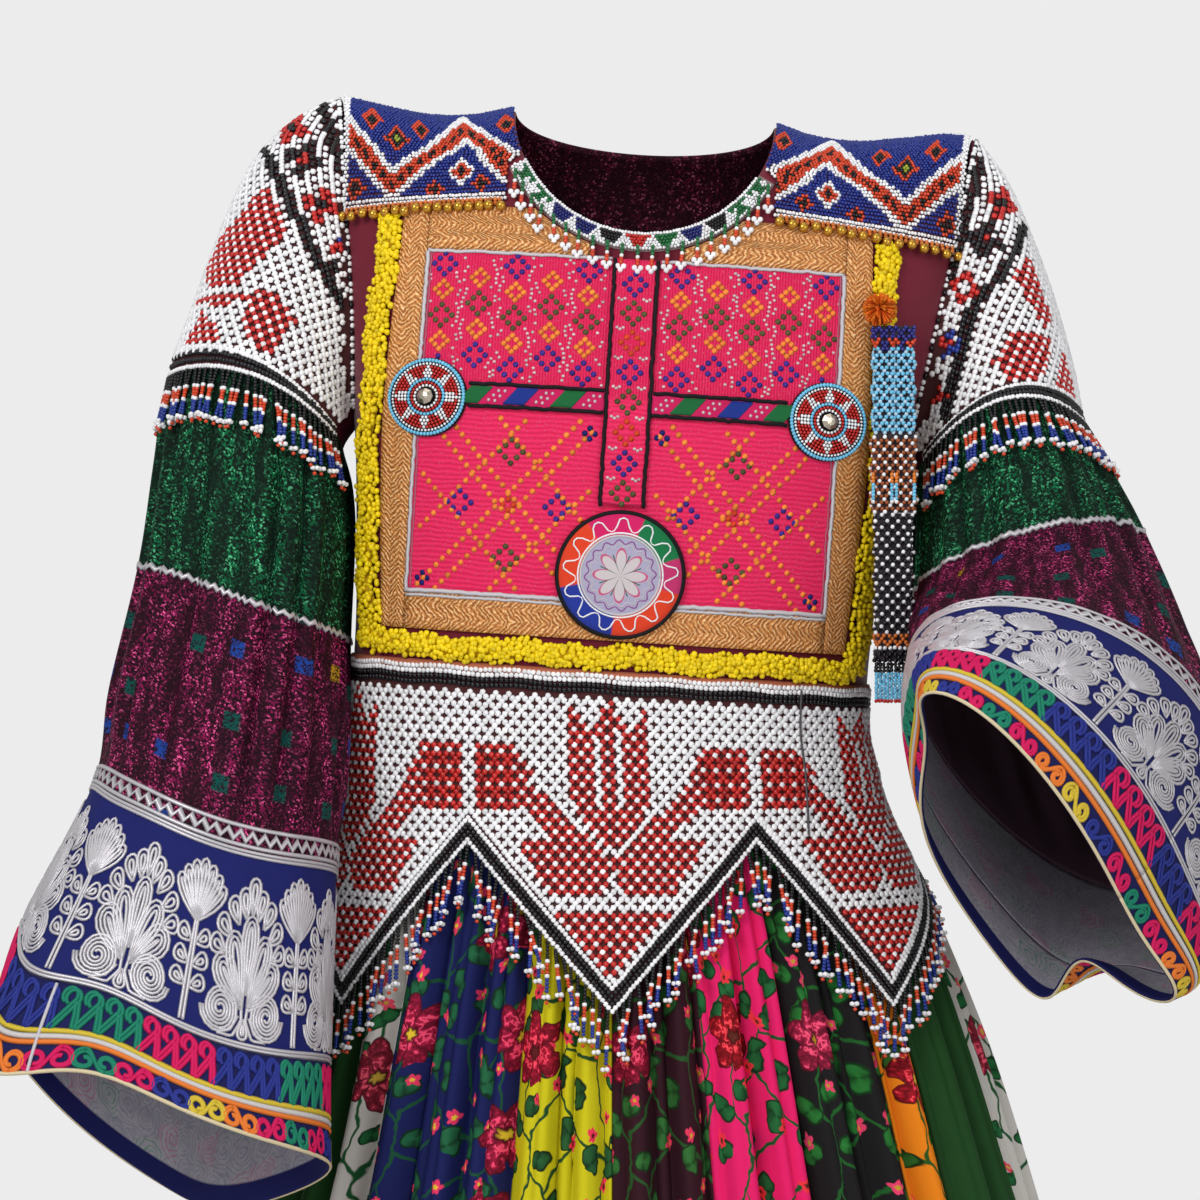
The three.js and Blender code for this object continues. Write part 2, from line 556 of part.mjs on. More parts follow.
function makeYokesAndNeckBand() {
  const layer = [OVERLAY, OVERLAY + BEADWORK];
  const sides = { right: -1, left: 1 };
  Object.entries(sides).forEach(([name, hand]) => {
    const outerX = YOKE.outerX + widening(hand, YOKE.outerBottomZ);
    const surface = (across, down) => {
      const x = lerp(YOKE.innerX, outerX - YOKE.outerDraw * down, across);
      const bottom = lerp(YOKE.innerBottomZ, YOKE.outerBottomZ, across);
      return frontPoint(hand * x, lerp(shoulderZ(x) - YOKE.ridgeGap, bottom, down ** 1.8));
    };
    add(`yoke_${name}`, "beads", wall(surface, spread(0, 1, 7), spread(0, 1, 7), ...layer, { turn: hand }));
  });
  const band = (turn, out) =>
    frontPoint(
      (NECK.halfWidth + out) * Math.sin(turn),
      NECK.topZ - (NECK.topZ - NECK.frontZ + out) * Math.cos(turn),
    );
  const columns = spread(degToRad(NECK_BAND.fromTurn), degToRad(NECK_BAND.toTurn), 16);
  const { start, width } = NECK_BAND;
  add("neck_band", "beads", wall(band, columns, spread(SEAM, width, 2), start, start + BEADWORK));
}

// Angles of the section at z that cut its length into even steps, kept for each z that is asked for.
const ARC_STEPS = 180;
const arcs = new Map();
function arcsAt(z) {
  if (!arcs.has(z)) {
    const points = spread(0, TURN, ARC_STEPS).map((angle) => sectionPoint(angle, z));
    const lengths = [0];
    points.slice(1).forEach((point, i) => lengths.push(lengths[i] + point.distanceTo(points[i])));
    arcs.set(z, lengths);
  }
  return arcs.get(z);
}

function angleAtArc(arc, z) {
  const lengths = arcsAt(z);
  const whole = lengths[ARC_STEPS];
  const wanted = ((arc % whole) + whole) % whole;
  const i = lengths.findIndex((length) => length > wanted) - 1;
  const share = (wanted - lengths[i]) / (lengths[i + 1] - lengths[i]);
  return ((i + share) * TURN) / ARC_STEPS;
}

const foldDepth = (z) => readTable(FOLD_DEPTH, "z", "depth", z);

// The gathered skirt. fold counts the folds round from the front's middle, by the wearer's left.
function skirtPoint(fold, z) {
  const crest = CREST_SIZES[Math.floor(fold) % CREST_SIZES.length];
  const rise = (1 - Math.cos(fold * TURN)) / 2;
  const flute = Math.cos((FLUTES.count * fold * TURN) / SKIRT_FOLDS);
  const fluting = FLUTES.depth * (1 - smoothstep(z, FLUTES.endZ, FLUTES.startZ));
  const out = foldDepth(z) * ((1 + crest) * rise - 1) + fluting * flute;
  const around = (fold / SKIRT_FOLDS) * arcsAt(z)[ARC_STEPS];
  return lean(sectionPoint(angleAtArc(around, z), z, out));
}

function makeSkirt() {
  let start = 0;
  SKIRT_LENGTHS.forEach(({ cloth, folds }, i) => {
    const columns = spread(start, start + folds - 1e-6, folds * FOLD_CELLS);
    const trims = seams("top", "start", "end");
    const name = `skirt_${String(i + 1).padStart(2, "0")}_${cloth}`;
    add(name, cloth, wall(skirtPoint, columns, SKIRT_ROWS_Z, 0, CLOTH, { trims }));
    start += folds;
  });
}

// The surface that the waist panel hangs on: the bodice, then the crests of the skirt's folds.
function drapePoint(arc, z) {
  const onSkirt = 1 - smoothstep(z, WAIST_EASE.onSkirtZ, WAIST_EASE.onBodiceZ);
  const out = lerp(OVERLAY, foldDepth(z) + CLOTH + WAIST_EASE.clearance, onSkirt);
  return lean(sectionPoint(angleAtArc(arc, z), z, out));
}

function waistEdgeZ(arc) {
  const leg = Math.abs(arc) / WAIST.legWidth;
  const share = Math.abs(leg - 2 * Math.round(leg / 2));
  return lerp(WAIST.tipZ, WAIST.notchZ, share);
}

function makeWaistPanel() {
  const half = (WAIST.legs * WAIST.legWidth) / 2;
  const columns = spread(-half, half, WAIST.legs * WAIST.legCells);
  const panel = (arc, share) => drapePoint(arc, lerp(WAIST.topZ, waistEdgeZ(arc), share));
  add("waist_panel", "beads", wall(panel, columns, spread(0, 1, WAIST.rows), 0, BEADWORK));

  const { count, length, gap, strip: stripWidth, strandRadius } = WAIST_FRINGE;
  const below = (arc, drop) => drapePoint(arc, waistEdgeZ(arc) - gap - drop);
  const strip = wall(below, columns, [0, stripWidth], 0, BEADWORK);
  const inset = strandRadius + 1;
  const facing = outward(below, columns, [0, length], false);
  const strands = spread(-half + inset, half - inset, count - 1).map((arc) => {
    const normal = facing(arc, length / 2).multiplyScalar(BEADWORK / 2);
    return strand(below(arc, stripWidth / 2).add(normal), below(arc, length).add(normal), strandRadius);
  });
  add("waist_fringe", "beads", fringe(strip, strands));
}

// A point of one ring of a sleeve, on the loop through its outer, front, inner and back points.
function ringPoint(name, hand, around, ring) {
  if (ring === 0) return armholePoint(around, hand);
  const { outer, front, inner, back } = SLEEVE_RINGS[name][ring - 1];
  const coordinates = outer.map((out, i) => {
    const mean = (out + front[i] + inner[i] + back[i]) / 4;
    const across = ((out - inner[i]) / 2) * Math.cos(around);
    const deep = ((front[i] - back[i]) / 2) * Math.sin(around);
    return mean + across + deep + ((out - front[i] + inner[i] - back[i]) / 4) * Math.cos(2 * around);
  });
  return new THREE.Vector3(...coordinates);
}

// How far a fold moves a sleeve at an angle round it, in degrees, and a row down it.
function foldShare(fold, degrees, row) {
  const away = ((((degrees - fold.around) % 360) + 540) % 360) - 180;
  const grown = smoothstep(row, fold.grows, fold.full) * (1 - smoothstep(row, fold.full, fold.fades));
  return Math.exp(-((away / fold.spread) ** 2)) * grown;
}

function sleeveSurface(name, hand) {
  const lastRing = SLEEVE_RINGS[name].length;
  return (degrees, row) => {
    const ring = Math.min(Math.floor(row), lastRing - 1);
    const t = row - ring;
    const points = [ring - 1, ring, ring + 1, ring + 2].map((i) =>
      ringPoint(name, hand, degToRad(degrees), clamp(i, 0, lastRing)),
    );
    const shares = [
      -0.5 * t * (1 - t) ** 2,
      1 - 2.5 * t ** 2 + 1.5 * t ** 3,
      0.5 * t + 2 * t ** 2 - 1.5 * t ** 3,
      0.5 * t ** 2 * (t - 1),
    ];
    const point = points.reduce((sum, p, i) => sum.addScaledVector(p, shares[i]), new THREE.Vector3());
    SLEEVE_FOLDS[name].forEach((fold) =>
      point.addScaledVector(new THREE.Vector3(...fold.push), foldShare(fold, degrees, row)),
    );
    return point;
  };
}

function makeSleeve(name, hand) {
  const surface = sleeveSurface(name, hand);
  const turn = -hand;
  const round = spread(0, 360, SLEEVE_CELLS).slice(0, -1);
  SLEEVE_BANDS.forEach((band) => {
    const options = { closed: true, turn, trims: seams("top", "bottom") };
    add(`sleeve_${name}_${band.name}`, band.cloth, wall(surface, round, band.rows, 0, CLOTH, options));
  });
  const { rows, start, halfTurn } = SLEEVE_BEADS;
  const cells = (2 * halfTurn * SLEEVE_CELLS) / 360;
  const partly = spread(-halfTurn, halfTurn, cells);
  add(`sleeve_${name}_beads`, "beads", wall(surface, partly, rows, start, start + BEADWORK, { turn }));

  const { count, length, rows: stripRows, strandRadius, start: fringeStart, flare } = SLEEVE_FRINGE;
  const strip = wall(surface, partly, stripRows, fringeStart, fringeStart + BEADWORK, { turn });
  const flat = faceted(surface, partly);
  const root = (stripRows[0] + stripRows[1]) / 2;
  const facing = outward(flat, partly, [5, 6], false);
  const strands = spread(-halfTurn + 2, halfTurn - 2, count - 1).map((degrees) => {
    const normal = facing(degrees, root).multiplyScalar(turn);
    const top = flat(degrees, root).addScaledVector(normal, fringeStart + BEADWORK / 2);
    const way = flat(degrees, 6).sub(flat(degrees, 5)).setLength(length);
    return strand(top, top.clone().add(way).addScaledVector(normal, flare), strandRadius);
  });
  add(`sleeve_${name}_fringe`, "beads", fringe(strip, strands));
}

function slab(x, y, width, thickness, topZ, bottomZ) {
  const outline = new THREE.Shape();
  const half = width / 2;
  const round = thickness / 2;
  outline.absarc(half - round, 0, round, -RIGHT_ANGLE, RIGHT_ANGLE);
  outline.absarc(-half + round, 0, round, RIGHT_ANGLE, 3 * RIGHT_ANGLE);
  const settings = { depth: topZ - bottomZ, bevelEnabled: false, curveSegments: 3 };
  return new THREE.ExtrudeGeometry(outline, settings).translate(x, y, bottomZ);
}

function makeStrap() {
  const knot = new THREE.IcosahedronGeometry(STRAP_KNOT.radius, 1);
  add("strap_knot", "orange", knot.translate(STRAP_KNOT.x, STRAP_KNOT.y, STRAP_KNOT.z));
  STRAP_PARTS.forEach(({ name, cloth, topZ, bottomZ, width }) => {
    add(name, cloth, slab(STRAP.x, STRAP.y, width, STRAP.thickness, topZ, bottomZ + SEAM));
  });
  const { topZ, strip, length, count, width, strandRadius } = STRAP_FRINGE;
  const band = slab(STRAP.x, STRAP.y, width, STRAP.thickness, topZ, topZ - strip);
  const reach = width / 2 - 2 * strandRadius;
  const strands = spread(-reach, reach, count - 1).map((across) => {
    const root = new THREE.Vector3(STRAP.x + across, STRAP.y, topZ - strip / 2);
    return strand(root, new THREE.Vector3(root.x, root.y, topZ - strip - length), strandRadius);
  });
  add("strap_fringe", "sky", fringe(band, strands));
}

makeBodice();
makeChest();
makeFastenings();
makeYokesAndNeckBand();
makeWaistPanel();
makeSkirt();
makeSleeve("right", -1);
makeSleeve("left", 1);
makeStrap();

export default dress;
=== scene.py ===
"""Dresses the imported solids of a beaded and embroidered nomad's dress: its cloth walls, netted beads,
fringes, couched cords and prints, on a plain pale stage. Surfaces are worked out in millimetres, from
the same named sizes as the solids, and are made in metres."""

import math

import bpy
import numpy as np
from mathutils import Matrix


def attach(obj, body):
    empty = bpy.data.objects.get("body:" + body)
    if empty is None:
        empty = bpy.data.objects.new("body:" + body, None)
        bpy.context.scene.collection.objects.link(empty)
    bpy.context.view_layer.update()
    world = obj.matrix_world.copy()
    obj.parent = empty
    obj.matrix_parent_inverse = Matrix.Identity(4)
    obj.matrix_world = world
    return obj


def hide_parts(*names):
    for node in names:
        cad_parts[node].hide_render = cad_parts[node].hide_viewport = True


bl_info = {
    "name": "Beaded nomad dress",
    "version": (1, 0, 0),
    "blender": (4, 2, 0),
    "location": "3D View > Sidebar > Dress",
    "description": "Cloth, netted beads, fringes and couched cords of a beaded dress",
    "category": "Object",
}

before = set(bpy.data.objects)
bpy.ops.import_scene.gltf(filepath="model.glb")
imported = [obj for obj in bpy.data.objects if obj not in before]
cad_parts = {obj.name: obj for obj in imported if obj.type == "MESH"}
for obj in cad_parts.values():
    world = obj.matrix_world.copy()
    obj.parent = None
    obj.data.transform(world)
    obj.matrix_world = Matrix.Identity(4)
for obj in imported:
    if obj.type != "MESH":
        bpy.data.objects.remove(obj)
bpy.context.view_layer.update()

MM = 0.001
CLOTH = 1.4
OVERLAY = 2.6
TOP_LAYER = OVERLAY + CLOTH + 0.5
ROPE_START, ROPE_THICKNESS = 3.4, 3.4
WAIST_SEAM = -418

# Level sections: z, half width, front, back, squareness, tuck on the -X side, widening on the +X side.
SECTIONS = [
    (30, 212, 56, 60, 2.35, 0, 16),
    (-60, 204, 86, 80, 2.35, 0, 15),
    (-120, 195, 102, 88, 2.35, 0, 12),
    (-160, 185, 110, 89, 2.45, 0, 8),
    (-190, 179, 113, 88, 2.5, 0, 5),
    (-250, 174, 107, 85, 2.5, 0, 2),
    (-330, 170, 97, 83, 2.45, 0, 0),
    (-418, 173, 99, 88, 2.35, 0, 0),
    (-470, 193, 112, 106, 2.25, 12, 0),
    (-520, 215, 126, 124, 2.2, 24, 0),
    (-600, 245, 148, 152, 2.15, 40, 0),
    (-690, 272, 174, 180, 2.1, 44, 0),
    (-850, 318, 220, 228, 2.1, 16, 0),
    (-1040, 366, 270, 280, 2.05, 0, 0),
    (-1240, 408, 312, 324, 2, 0, 0),
]
HALF, FRONT, BACK, SQUARE, TUCK, WIDEN = range(1, 7)
LEAN, LEAN_PIVOT, LEAN_NONE, LEAN_FULL = math.radians(3.6), -330, -430, -335
NECK_HALF, NECK_TOP, NECK_FRONT, NECK_BACK = 86, 27, -57, 8
SHOULDER_LINE = [(86, 27), (112, 20), (142, 18), (172, 22), (200, 27)]
SHOULDER_ROUNDING = 70
ARMHOLE = [(0, 200, 27), (0.28, 193, -40), (0.55, 185, -100), (0.8, 180, -155), (1, 179, -190)]
NECK_SHARE, SHOULDER_SHARE = 0.42, 0.72
TRIM_EDGE = [(-53, 152), (-190, 156), (-339, 148)]
TRIM_WIDTH, TRIM_TOP, TRIM_BOTTOM = 16.5, -53, -339
CHEST_HALF, CHEST_TOP, CHEST_BOTTOM = 135, -75, -296
BRAID_TOP, BRAID_BOTTOM = -50, -320

# Skirt lengths round from the front's middle by the wearer's left: cloth and number of folds.
SKIRT = [
    ("maroon", 2), ("pink", 2), ("black", 2), ("orange", 1), ("green", 2), ("white", 2),
    ("navy", 3), ("yellow", 3), ("pink", 3), ("maroon", 3), ("orange", 3), ("black", 3),
    ("red", 3), ("green", 2), ("white", 1), ("navy", 3), ("yellow", 2),
]
SKIRT_FOLDS = sum(folds for _, folds in SKIRT)
FOLD_DEPTH = [(-418, 2.2), (-480, 4.6), (-580, 7), (-730, 10), (-950, 14), (-1240, 18)]
CREST_SIZES = np.array([1, 0.65, 0.9, 0.45, 0.8, 1, 0.55, 0.95, 0.7, 0.5])

WAIST_TOP, WAIST_NOTCH, WAIST_TIP, WAIST_LEG, WAIST_LEGS = -343, -450, -556, 90, 6

# Rings down each sleeve: outer, front, inner and back points.
RINGS = {
    "right": [
        ((-208, 0, 25), (-187, -54, -77), (-176, 0, -184), (-194, 54, -68)),
        ((-236, 0, -3), (-200, -62, -92), (-178, 0, -187), (-209, 62, -82)),
        ((-258, -2, -50), (-210, -70, -115), (-179, -2, -189), (-221, 66, -106)),
        ((-276, -4, -100), (-219, -76, -133), (-180, -4, -192), (-230, 68, -128)),
        ((-292, -6, -146), (-227, -80, -151), (-180, -6, -196), (-239, 68, -157)),
        ((-300, -14, -207), (-230, -92, -219), (-175.5, 2, -241), (-241, 62, -227)),
        ((-308, -30, -272), (-235, -112, -293), (-177.5, -12, -320), (-246, 50, -309)),
        ((-322, -62, -346), (-243, -146, -366), (-175, -68, -393), (-258, 22, -390)),
        ((-333, -100, -414), (-250, -190, -443), (-178, -108, -468), (-274, -12, -483)),
        ((-373, -138, -500), (-264, -240, -555), (-178, -158, -588), (-292, -48, -604)),
        ((-387, -155, -557), (-267, -264, -599), (-176, -180, -651), (-300, -60, -668)),
    ],
    "left": [
        ((262, 0, -18), (234, -54, -104), (196, 0, -204), (240, 54, -96)),
        ((280, 0, -60), (243, -62, -121), (199, 0, -206), (252, 62, -113)),
        ((294, 0, -100), (247, -70, -138), (201, -2, -208), (260, 66, -134)),
        ((305, 0, -140), (250, -78, -154), (202, -4, -211), (266, 68, -154)),
        ((314, 0, -180), (252, -86, -166), (204, -6, -215), (270, 72, -180)),
        ((334, 0, -216), (257, -100, -208), (205, -10, -246), (281, 78, -228)),
        ((351, -5, -250), (260, -120, -252), (204, -20, -292), (298, 84, -292)),
        ((373, -40, -312), (257, -150, -276), (202, -46, -334), (330, 58, -400)),
        ((388, -110, -385), (248, -196, -298), (200, -110, -374), (352, 0, -490)),
        ((340, -215, -442), (216, -246, -327), (194, -152, -412), (332, -90, -545)),
        ((306, -243, -475), (200, -266, -352), (198, -172, -446), (298, -130, -552)),
    ],
}
HANDS = {"right": -1, "left": 1}
SEAM_TURN = 50
MOTIF_WIDE, MOTIF_TALL = 80, 84
LIE = CLOTH + 0.5
ARMHOLE_GAP = CLOTH + 0.9
# Larger folds of a sleeve: around, spread, grows, full, fades, push.
SLEEVE_FOLDS = {
    "right": [
        (38, 20, 8.6, 11, 14, (-24, -26, -24)),
        (225, 34, 8.5, 11, 14, (-24, -16, -6)),
        (140, 22, 5, 6.4, 8, (2, -7, 0)),
        (60, 18, 6, 7.2, 8.6, (3, 6, 0)),
    ],
    "left": [
        (315, 26, 9, 11, 14, (22, -28, -2)),
        (272, 24, 9, 11, 14, (-4, -20, 34)),
        (235, 22, 9, 11, 14, (12, 6, -20)),
        (140, 26, 9, 11, 14, (16, 0, 0)),
        (80, 26, 5.4, 6.5, 7.6, (2, -10, 4)),
    ],
}
SLEEVE_BANDS = [
    ("top", 0, 4.6), ("green_band", 4.6, 7), ("plum_band", 7, 9), ("cuff_blue", 9, 9.996),
    ("cuff_bright", 10.004, 11),
]
# The netted panel of a sleeve: its first and last row, and how many degrees it reaches to each side.
BEAD_START, BEAD_END, BEAD_HALF_TURN = 0.06, 5, 148
ARC_STEPS = 180
TAB_Z = -168.5
NET_BACKING = (0.075, 0.020, 0.022)
PALE_STITCH = (0.62, 0.50, 0.52)

WHITE, BLACK, RED = (0.86, 0.86, 0.88), (0.005, 0.005, 0.007), (0.52, 0.017, 0.013)
SCARLET, NAVY, BLUE = (0.62, 0.055, 0.015), (0.010, 0.016, 0.14), (0.012, 0.035, 0.26)
SKY, GREEN = (0.16, 0.52, 0.76), (0.01, 0.14, 0.04)
GOLD, ORANGE, SILVER = (0.60, 0.25, 0.07), (0.72, 0.20, 0.02), (0.56, 0.54, 0.57)
CREAM = (0.66, 0.56, 0.36)


# Surfaces

def read_table(table, column, at):
    """The value of a column at a place along the first column, on a smooth curve through the rows."""
    rows = np.array(sorted(table), float)
    keys, values = rows[:, 0], rows[:, column]
    before = np.maximum(np.arange(len(keys)) - 1, 0)
    after = np.minimum(np.arange(len(keys)) + 1, len(keys) - 1)
    slopes = (values[after] - values[before]) / (keys[after] - keys[before])
    i = np.clip(np.searchsorted(keys, at, side="right") - 1, 0, len(keys) - 2)
    step = keys[i + 1] - keys[i]
    t = np.clip((at - keys[i]) / step, 0, 1)
    return (
        (1 + 2 * t) * (1 - t) ** 2 * values[i]
        + t * (1 - t) ** 2 * step * slopes[i]
        + t**2 * (3 - 2 * t) * values[i + 1]
        + t**2 * (t - 1) * step * slopes[i + 1]
    )


def smooth(value, low, high):
    t = np.clip((value - low) / (high - low), 0, 1)
    return t * t * (3 - 2 * t)


def mix(a, b, share):
    return a + (b - a) * share


def power(value, exponent):
    return np.sign(value) * np.abs(value) ** exponent


def unit(vectors):
    return vectors / np.maximum(np.linalg.norm(vectors, axis=-1, keepdims=True), 1e-9)


def section(z, column):
    return read_table(SECTIONS, column, z)


def lean(points):
    """Points of the upright dress, where the torso's lean takes them."""
    x, y, z = points[..., 0], points[..., 1], points[..., 2]
    angle = LEAN * smooth(z, LEAN_NONE, LEAN_FULL)
    rise = z - LEAN_PIVOT
    return np.stack(
        [x * np.cos(angle) + rise * np.sin(angle), y, LEAN_PIVOT + rise * np.cos(angle) - x * np.sin(angle)],
        -1,
    )


def section_point(angle, z, out=0.0):
    exponent = 2 / section(z, SQUARE)
    aside = np.where(np.sin(angle) < 0, -section(z, TUCK), section(z, WIDEN))
    depth = np.where(np.cos(angle) > 0, section(z, FRONT), section(z, BACK))
    x = (section(z, HALF) + out + aside) * power(np.sin(angle), exponent)
    y = -(depth + out) * power(np.cos(angle), exponent)
    return np.stack([x, y, z + 0 * x], -1)


def shoulder_z(x):
    return read_table(SHOULDER_LINE, 1, np.abs(x))


def widening(x, z):
    return np.where(x > 0, section(z, WIDEN), 0)


def torso_point(angle, z):
    point = section_point(angle, z)
    drop = np.clip((shoulder_z(point[..., 0]) - z) / SHOULDER_ROUNDING, 0, 1)
    point[..., 1] *= np.sqrt(1 - (1 - drop) ** 2)
    return lean(point)


def torso_angle(x, z):
    share = np.minimum(np.abs(x) / (section(z, HALF) + widening(x, z)), 1)
    return np.sign(x) * np.arcsin(share ** (section(z, SQUARE) / 2))


def front_point(x, z):
    return torso_point(torso_angle(x, z), z)


def armhole_at(along, hand):
    z = read_table(ARMHOLE, 2, along)
    return read_table(ARMHOLE, 1, along) + widening(hand, z), z


def bodice_edge(across, neck_z):
    """The upper edge of the bodice: neckline, shoulder seam, then armhole."""
    side = np.abs(across)
    turn = np.clip(side / NECK_SHARE, 0, 1) * math.pi / 2
    tip = armhole_at(0 * side, across)[0]
    ridge = mix(NECK_HALF, tip, np.clip((side - NECK_SHARE) / (SHOULDER_SHARE - NECK_SHARE), 0, 1))
    hole_x, hole_z = armhole_at(np.clip((side - SHOULDER_SHARE) / (1 - SHOULDER_SHARE), 0, 1), across)
    at_neck, at_ridge = side <= NECK_SHARE, side <= SHOULDER_SHARE
    x = np.where(at_neck, NECK_HALF * np.sin(turn), np.where(at_ridge, ridge, hole_x))
    neck = NECK_TOP - (NECK_TOP - neck_z) * np.cos(turn)
    return x, np.where(at_neck, neck, np.where(at_ridge, shoulder_z(ridge), hole_z))


def bodice_surface(is_front):
    def surface(across, down):
        x, edge_z = bodice_edge(across, NECK_FRONT if is_front else NECK_BACK)
        z = mix(edge_z, WAIST_SEAM, down)
        angle = mix(torso_angle(np.sign(across) * x, edge_z), across * math.pi / 2, math.sqrt(down))
        return torso_point(angle if is_front else math.pi - angle, z)

    return surface


def armhole_point(around, hand):
    turn = np.mod(around, 2 * math.pi)
    x, z = armhole_at((1 - np.cos(turn)) / 2, hand)
    angle = torso_angle(hand * x, z)
    point = torso_point(np.where(turn <= math.pi, angle, math.pi - angle), z)
    point[..., 0] += hand * ARMHOLE_GAP
    return point


def angle_at_arc(arc, z):
    angles = np.linspace(0, 2 * math.pi, ARC_STEPS + 1)
    points = section_point(angles, z)
    lengths = np.concatenate([[0], np.cumsum(np.linalg.norm(np.diff(points, axis=0), axis=1))])
    return np.interp(np.mod(arc, lengths[-1]), lengths, angles), lengths[-1]


def skirt_surface(pleats=0.0):
    """The gathered skirt over folds and height. pleats adds finer ones to those of the solids."""

    def surface(fold, z):
        crest = CREST_SIZES[np.floor(fold + 1e-9).astype(int) % len(CREST_SIZES)]
        rise = (1 - np.cos(fold * 2 * math.pi)) / 2
        fluting = 13 * (1 - smooth(z, -1240, -600)) * np.cos(9 * fold * 2 * math.pi / SKIRT_FOLDS)
        out = read_table(FOLD_DEPTH, 1, z) * ((1 + crest) * rise - 1) + fluting
        grow = smooth(-z, 418, 520) * (1 - 0.45 * smooth(-z, 700, 1200))
        fine = np.sin(fold * 4 * math.pi + 1.7 * np.sin(fold * 1.3)) + 0.6 * np.sin(fold * 6 * math.pi + 0.9)
        around = angle_at_arc(0, z)[1] * (fold / SKIRT_FOLDS)
        return lean(section_point(angle_at_arc(around, z)[0], z, out + pleats * grow * fine))

    return surface


def drape_surface(arc, z):
    """The surface that the waist panel hangs on: the bodice, then the crests of the skirt's folds."""
    on_skirt = 1 - smooth(z, -412, -370)
    out = mix(OVERLAY, read_table(FOLD_DEPTH, 1, z) + CLOTH + 2.3, on_skirt)
    return lean(section_point(angle_at_arc(arc, z)[0], z, out))


def waist_edge(arc):
    leg = np.abs(arc) / WAIST_LEG
    return mix(WAIST_TIP, WAIST_NOTCH, np.abs(leg - 2 * np.round(leg / 2)))


def ring_loop(name, around, ring):
    if ring == 0:
        return armhole_point(around, HANDS[name])
    outer, front, inner, back = np.array(RINGS[name][ring - 1], float)
    cos, sin = np.cos(around)[:, None], np.sin(around)[:, None]
    mean = (outer + front + inner + back) / 4
    square = (outer - front + inner - back) / 4
    return mean + (outer - inner) / 2 * cos + (front - back) / 2 * sin + square * np.cos(2 * around)[:, None]


def sleeve_surface(name, gathers=0.0):
    """A sleeve over degrees round it and rows down it. gathers adds small folds below the bead panel."""
    last = len(RINGS[name])

    def surface(degrees, row):
        ring = min(int(row), last - 1)
        t = row - ring
        loops = [
            ring_loop(name, np.radians(degrees), min(max(i, 0), last)) for i in range(ring - 1, ring + 3)]
        shares = (
            -0.5 * t * (1 - t) ** 2, 1 - 2.5 * t**2 + 1.5 * t**3,
            0.5 * t + 2 * t**2 - 1.5 * t**3, 0.5 * t**2 * (t - 1),
        )
        point = sum(share * loop for share, loop in zip(shares, loops))
        centre = point.mean(0)
        for around, spread, grows, full, fades, push in SLEEVE_FOLDS[name]:
            away = np.mod(degrees - around + 180, 360) - 180
            grown = smooth(row, grows, full) * (1 - smooth(row, full, fades))
            point = point + np.exp(-((away / spread) ** 2))[:, None] * grown * np.array(push, float)
        turn = np.radians(degrees)
        ripple = np.sin(17 * turn + 1.4 * np.sin(3 * turn)) + 0.7 * np.sin(27 * turn + 2 * np.sin(2 * turn))
        size = gathers * smooth(row, 4.9, 5.6) * (1 - smooth(row, 8.2, 9))
        return point + unit(point - centre) * (size * ripple)[:, None]

    return surface


class Patch:
    """A piece of surface, sampled on a grid, that can be asked for any place on it by its shares."""

    def __init__(self, surface, us, vs, closed=False, turn=1):
        self.closed = closed
        self.us, self.vs = np.asarray(us, float), np.asarray(vs, float)
        self.points = np.array([surface(self.us, v) for v in self.vs])
        ahead = np.gradient(self.points, axis=1)
        if closed:
            ahead[:, 0] = ahead[:, -1] = (self.points[:, 1] - self.points[:, -2]) / 2
        down = np.gradient(self.points, axis=0)
        self.normals = unit(np.cross(down, ahead)) * turn
        self.width = np.linalg.norm(np.diff(self.points, axis=1), axis=2).sum(1)
        self.length = np.linalg.norm(np.diff(self.points, axis=0), axis=2).sum(0)

    def at(self, u, v, out=0.0):
        """Points and normals at values of u and v."""
        rise_u, rise_v = np.sign(self.us[-1] - self.us[0]), np.sign(self.vs[-1] - self.vs[0])
        i = np.interp(rise_u * u, rise_u * self.us, np.arange(len(self.us)))
        j = np.interp(rise_v * v, rise_v * self.vs, np.arange(len(self.vs)))
        return self.blend(i, j, out)

    def share(self, across, down, out=0.0):
        """Points and normals at shares of the way across and down."""
        return self.blend(across * (len(self.us) - 1), down * (len(self.vs) - 1), out)

    def blend(self, i, j, out):
        i = np.clip(i, 0, len(self.us) - 1.0001)
        j = np.clip(j, 0, len(self.vs) - 1.0001)
        a, b = i.astype(int), j.astype(int)
        s, t = (i - a)[..., None], (j - b)[..., None]

        def between(grid):
            upper = grid[b, a] * (1 - s) + grid[b, a + 1] * s
            return upper * (1 - t) + (grid[b + 1, a] * (1 - s) + grid[b + 1, a + 1] * s) * t

        normals = unit(between(self.normals))
        return between(self.points) + normals * np.asarray(out)[..., None], normals


# Making objects

def clean_slate():
    if bpy.context.mode != "OBJECT":
        bpy.ops.object.mode_set(mode="OBJECT")
    bpy.ops.object.select_all(action="DESELECT")


def sizes():
    return bpy.context.scene.dress_sizes


def colors():
    return bpy.context.scene.dress_colors


def measure(name):
    """A size of the panel in millimetres, rounded because Blender keeps it in 32 bits."""
    return round(getattr(sizes(), name) / MM, 4)


def tint_of(name):
    """A colour of the panel as a plain tuple, rounded for the same reason."""
    return tuple(round(part, 4) for part in getattr(colors(), name))


